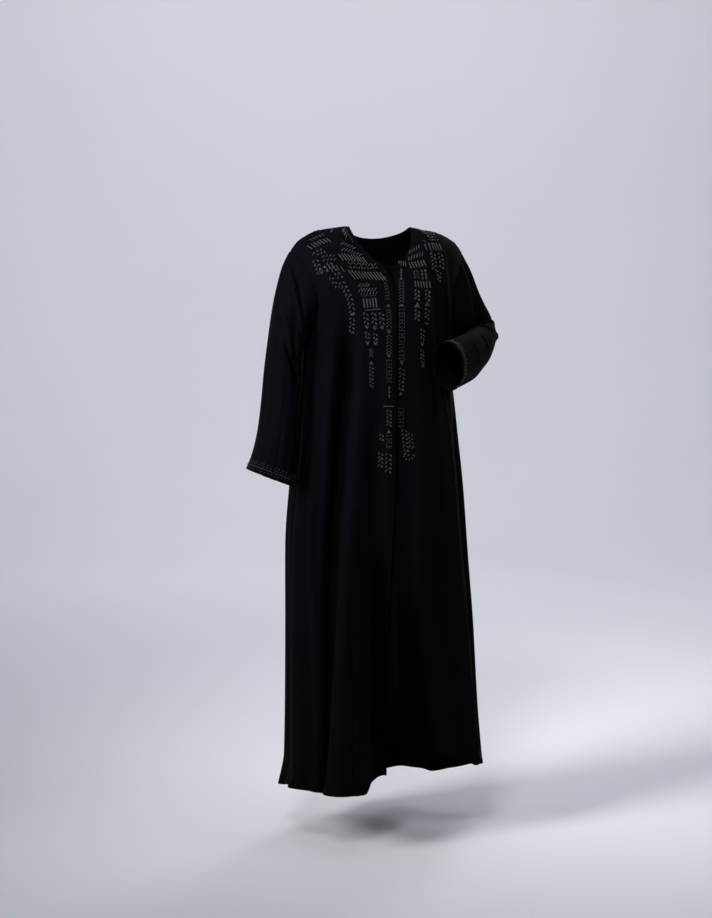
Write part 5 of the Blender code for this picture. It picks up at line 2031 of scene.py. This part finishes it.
def soft_light(light):
    data = bpy.data.lights.new(light.name.replace(" ", "_"), "AREA")
    data.shape = "RECTANGLE"
    data.size, data.size_y = light.width, light.height
    data.energy = light.watts
    data.spread = math.radians(light.spread)
    data.color = (light.red, light.green, light.blue)
    obj = in_scene(data.name, data)
    obj.location = (light.x, light.y, light.z)
    point_at(obj, Vector((light.aim_x, light.aim_y, light.aim_z)) - obj.location)


def point_at(obj, way):
    obj.rotation_euler = way.to_track_quat("-Z", "Y").to_euler()


PICTURE_SIZE = (712, 918)
SENSOR = 36.0
LENS_PIXELS = 1640.0  # the lens's focal length, in pixels of a render of this size
CAMERA_HEIGHT = -0.24
CAMERA_YAW = math.radians(0.80)
CAMERA_PITCH = math.radians(4.5)


def camera_for(sizes):
    data = bpy.data.cameras.new("studio_camera")
    data.sensor_width = SENSOR
    data.lens = SENSOR * LENS_PIXELS / max(PICTURE_SIZE)
    obj = in_scene("studio_camera", data)
    x = -math.sin(sizes.camera_turn) * sizes.camera_distance
    y = -math.cos(sizes.camera_turn) * sizes.camera_distance
    obj.location = (x, y, CAMERA_HEIGHT)
    heading = math.atan2(-y, -x) + CAMERA_YAW
    level_way = math.cos(CAMERA_PITCH)
    way = (math.cos(heading) * level_way, math.sin(heading) * level_way, -math.sin(CAMERA_PITCH))
    point_at(obj, Vector(way))
    bpy.context.scene.camera = obj


class ABAYA_PT_panel(bpy.types.Panel):
    bl_idname = "ABAYA_PT_panel"
    bl_label = "Abaya cloak"
    bl_space_type = "VIEW_3D"
    bl_region_type = "UI"
    bl_category = "Abaya"

    def draw(self, context):
        for name in SETTINGS:
            settings = getattr(context.scene, name)
            box = self.layout.box()
            for key in settings.__annotations__:
                box.prop(settings, key)
        for operator in OPERATORS:
            self.layout.operator(operator.bl_idname)


SETTINGS = {"abaya_cloth": AbayaCloth, "abaya_thread": AbayaThread, "abaya_studio": AbayaStudio}
OPERATORS = (
    ABAYA_OT_body, ABAYA_OT_sleeves, ABAYA_OT_stitching, ABAYA_OT_sewing, ABAYA_OT_studio,
)


def register():
    for cls in (*SETTINGS.values(), *OPERATORS, ABAYA_PT_panel):
        bpy.utils.register_class(cls)
    for name, cls in SETTINGS.items():
        setattr(bpy.types.Scene, name, PointerProperty(type=cls))


def unregister():
    for name in SETTINGS:
        delattr(bpy.types.Scene, name)
    for cls in reversed((*SETTINGS.values(), *OPERATORS, ABAYA_PT_panel)):
        bpy.utils.unregister_class(cls)


def main():
    register()
    bpy.ops.abaya.body()
    bpy.ops.abaya.sleeves()
    bpy.ops.abaya.stitching()
    bpy.ops.abaya.sewing()
    bpy.ops.abaya.studio()
    boxes = {"cad": CAD_BOX, "visual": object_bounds()}
    {key: [list(map(float, p)) for p in box] for key, box in boxes.items()}


if __name__ == "__main__":
    main()
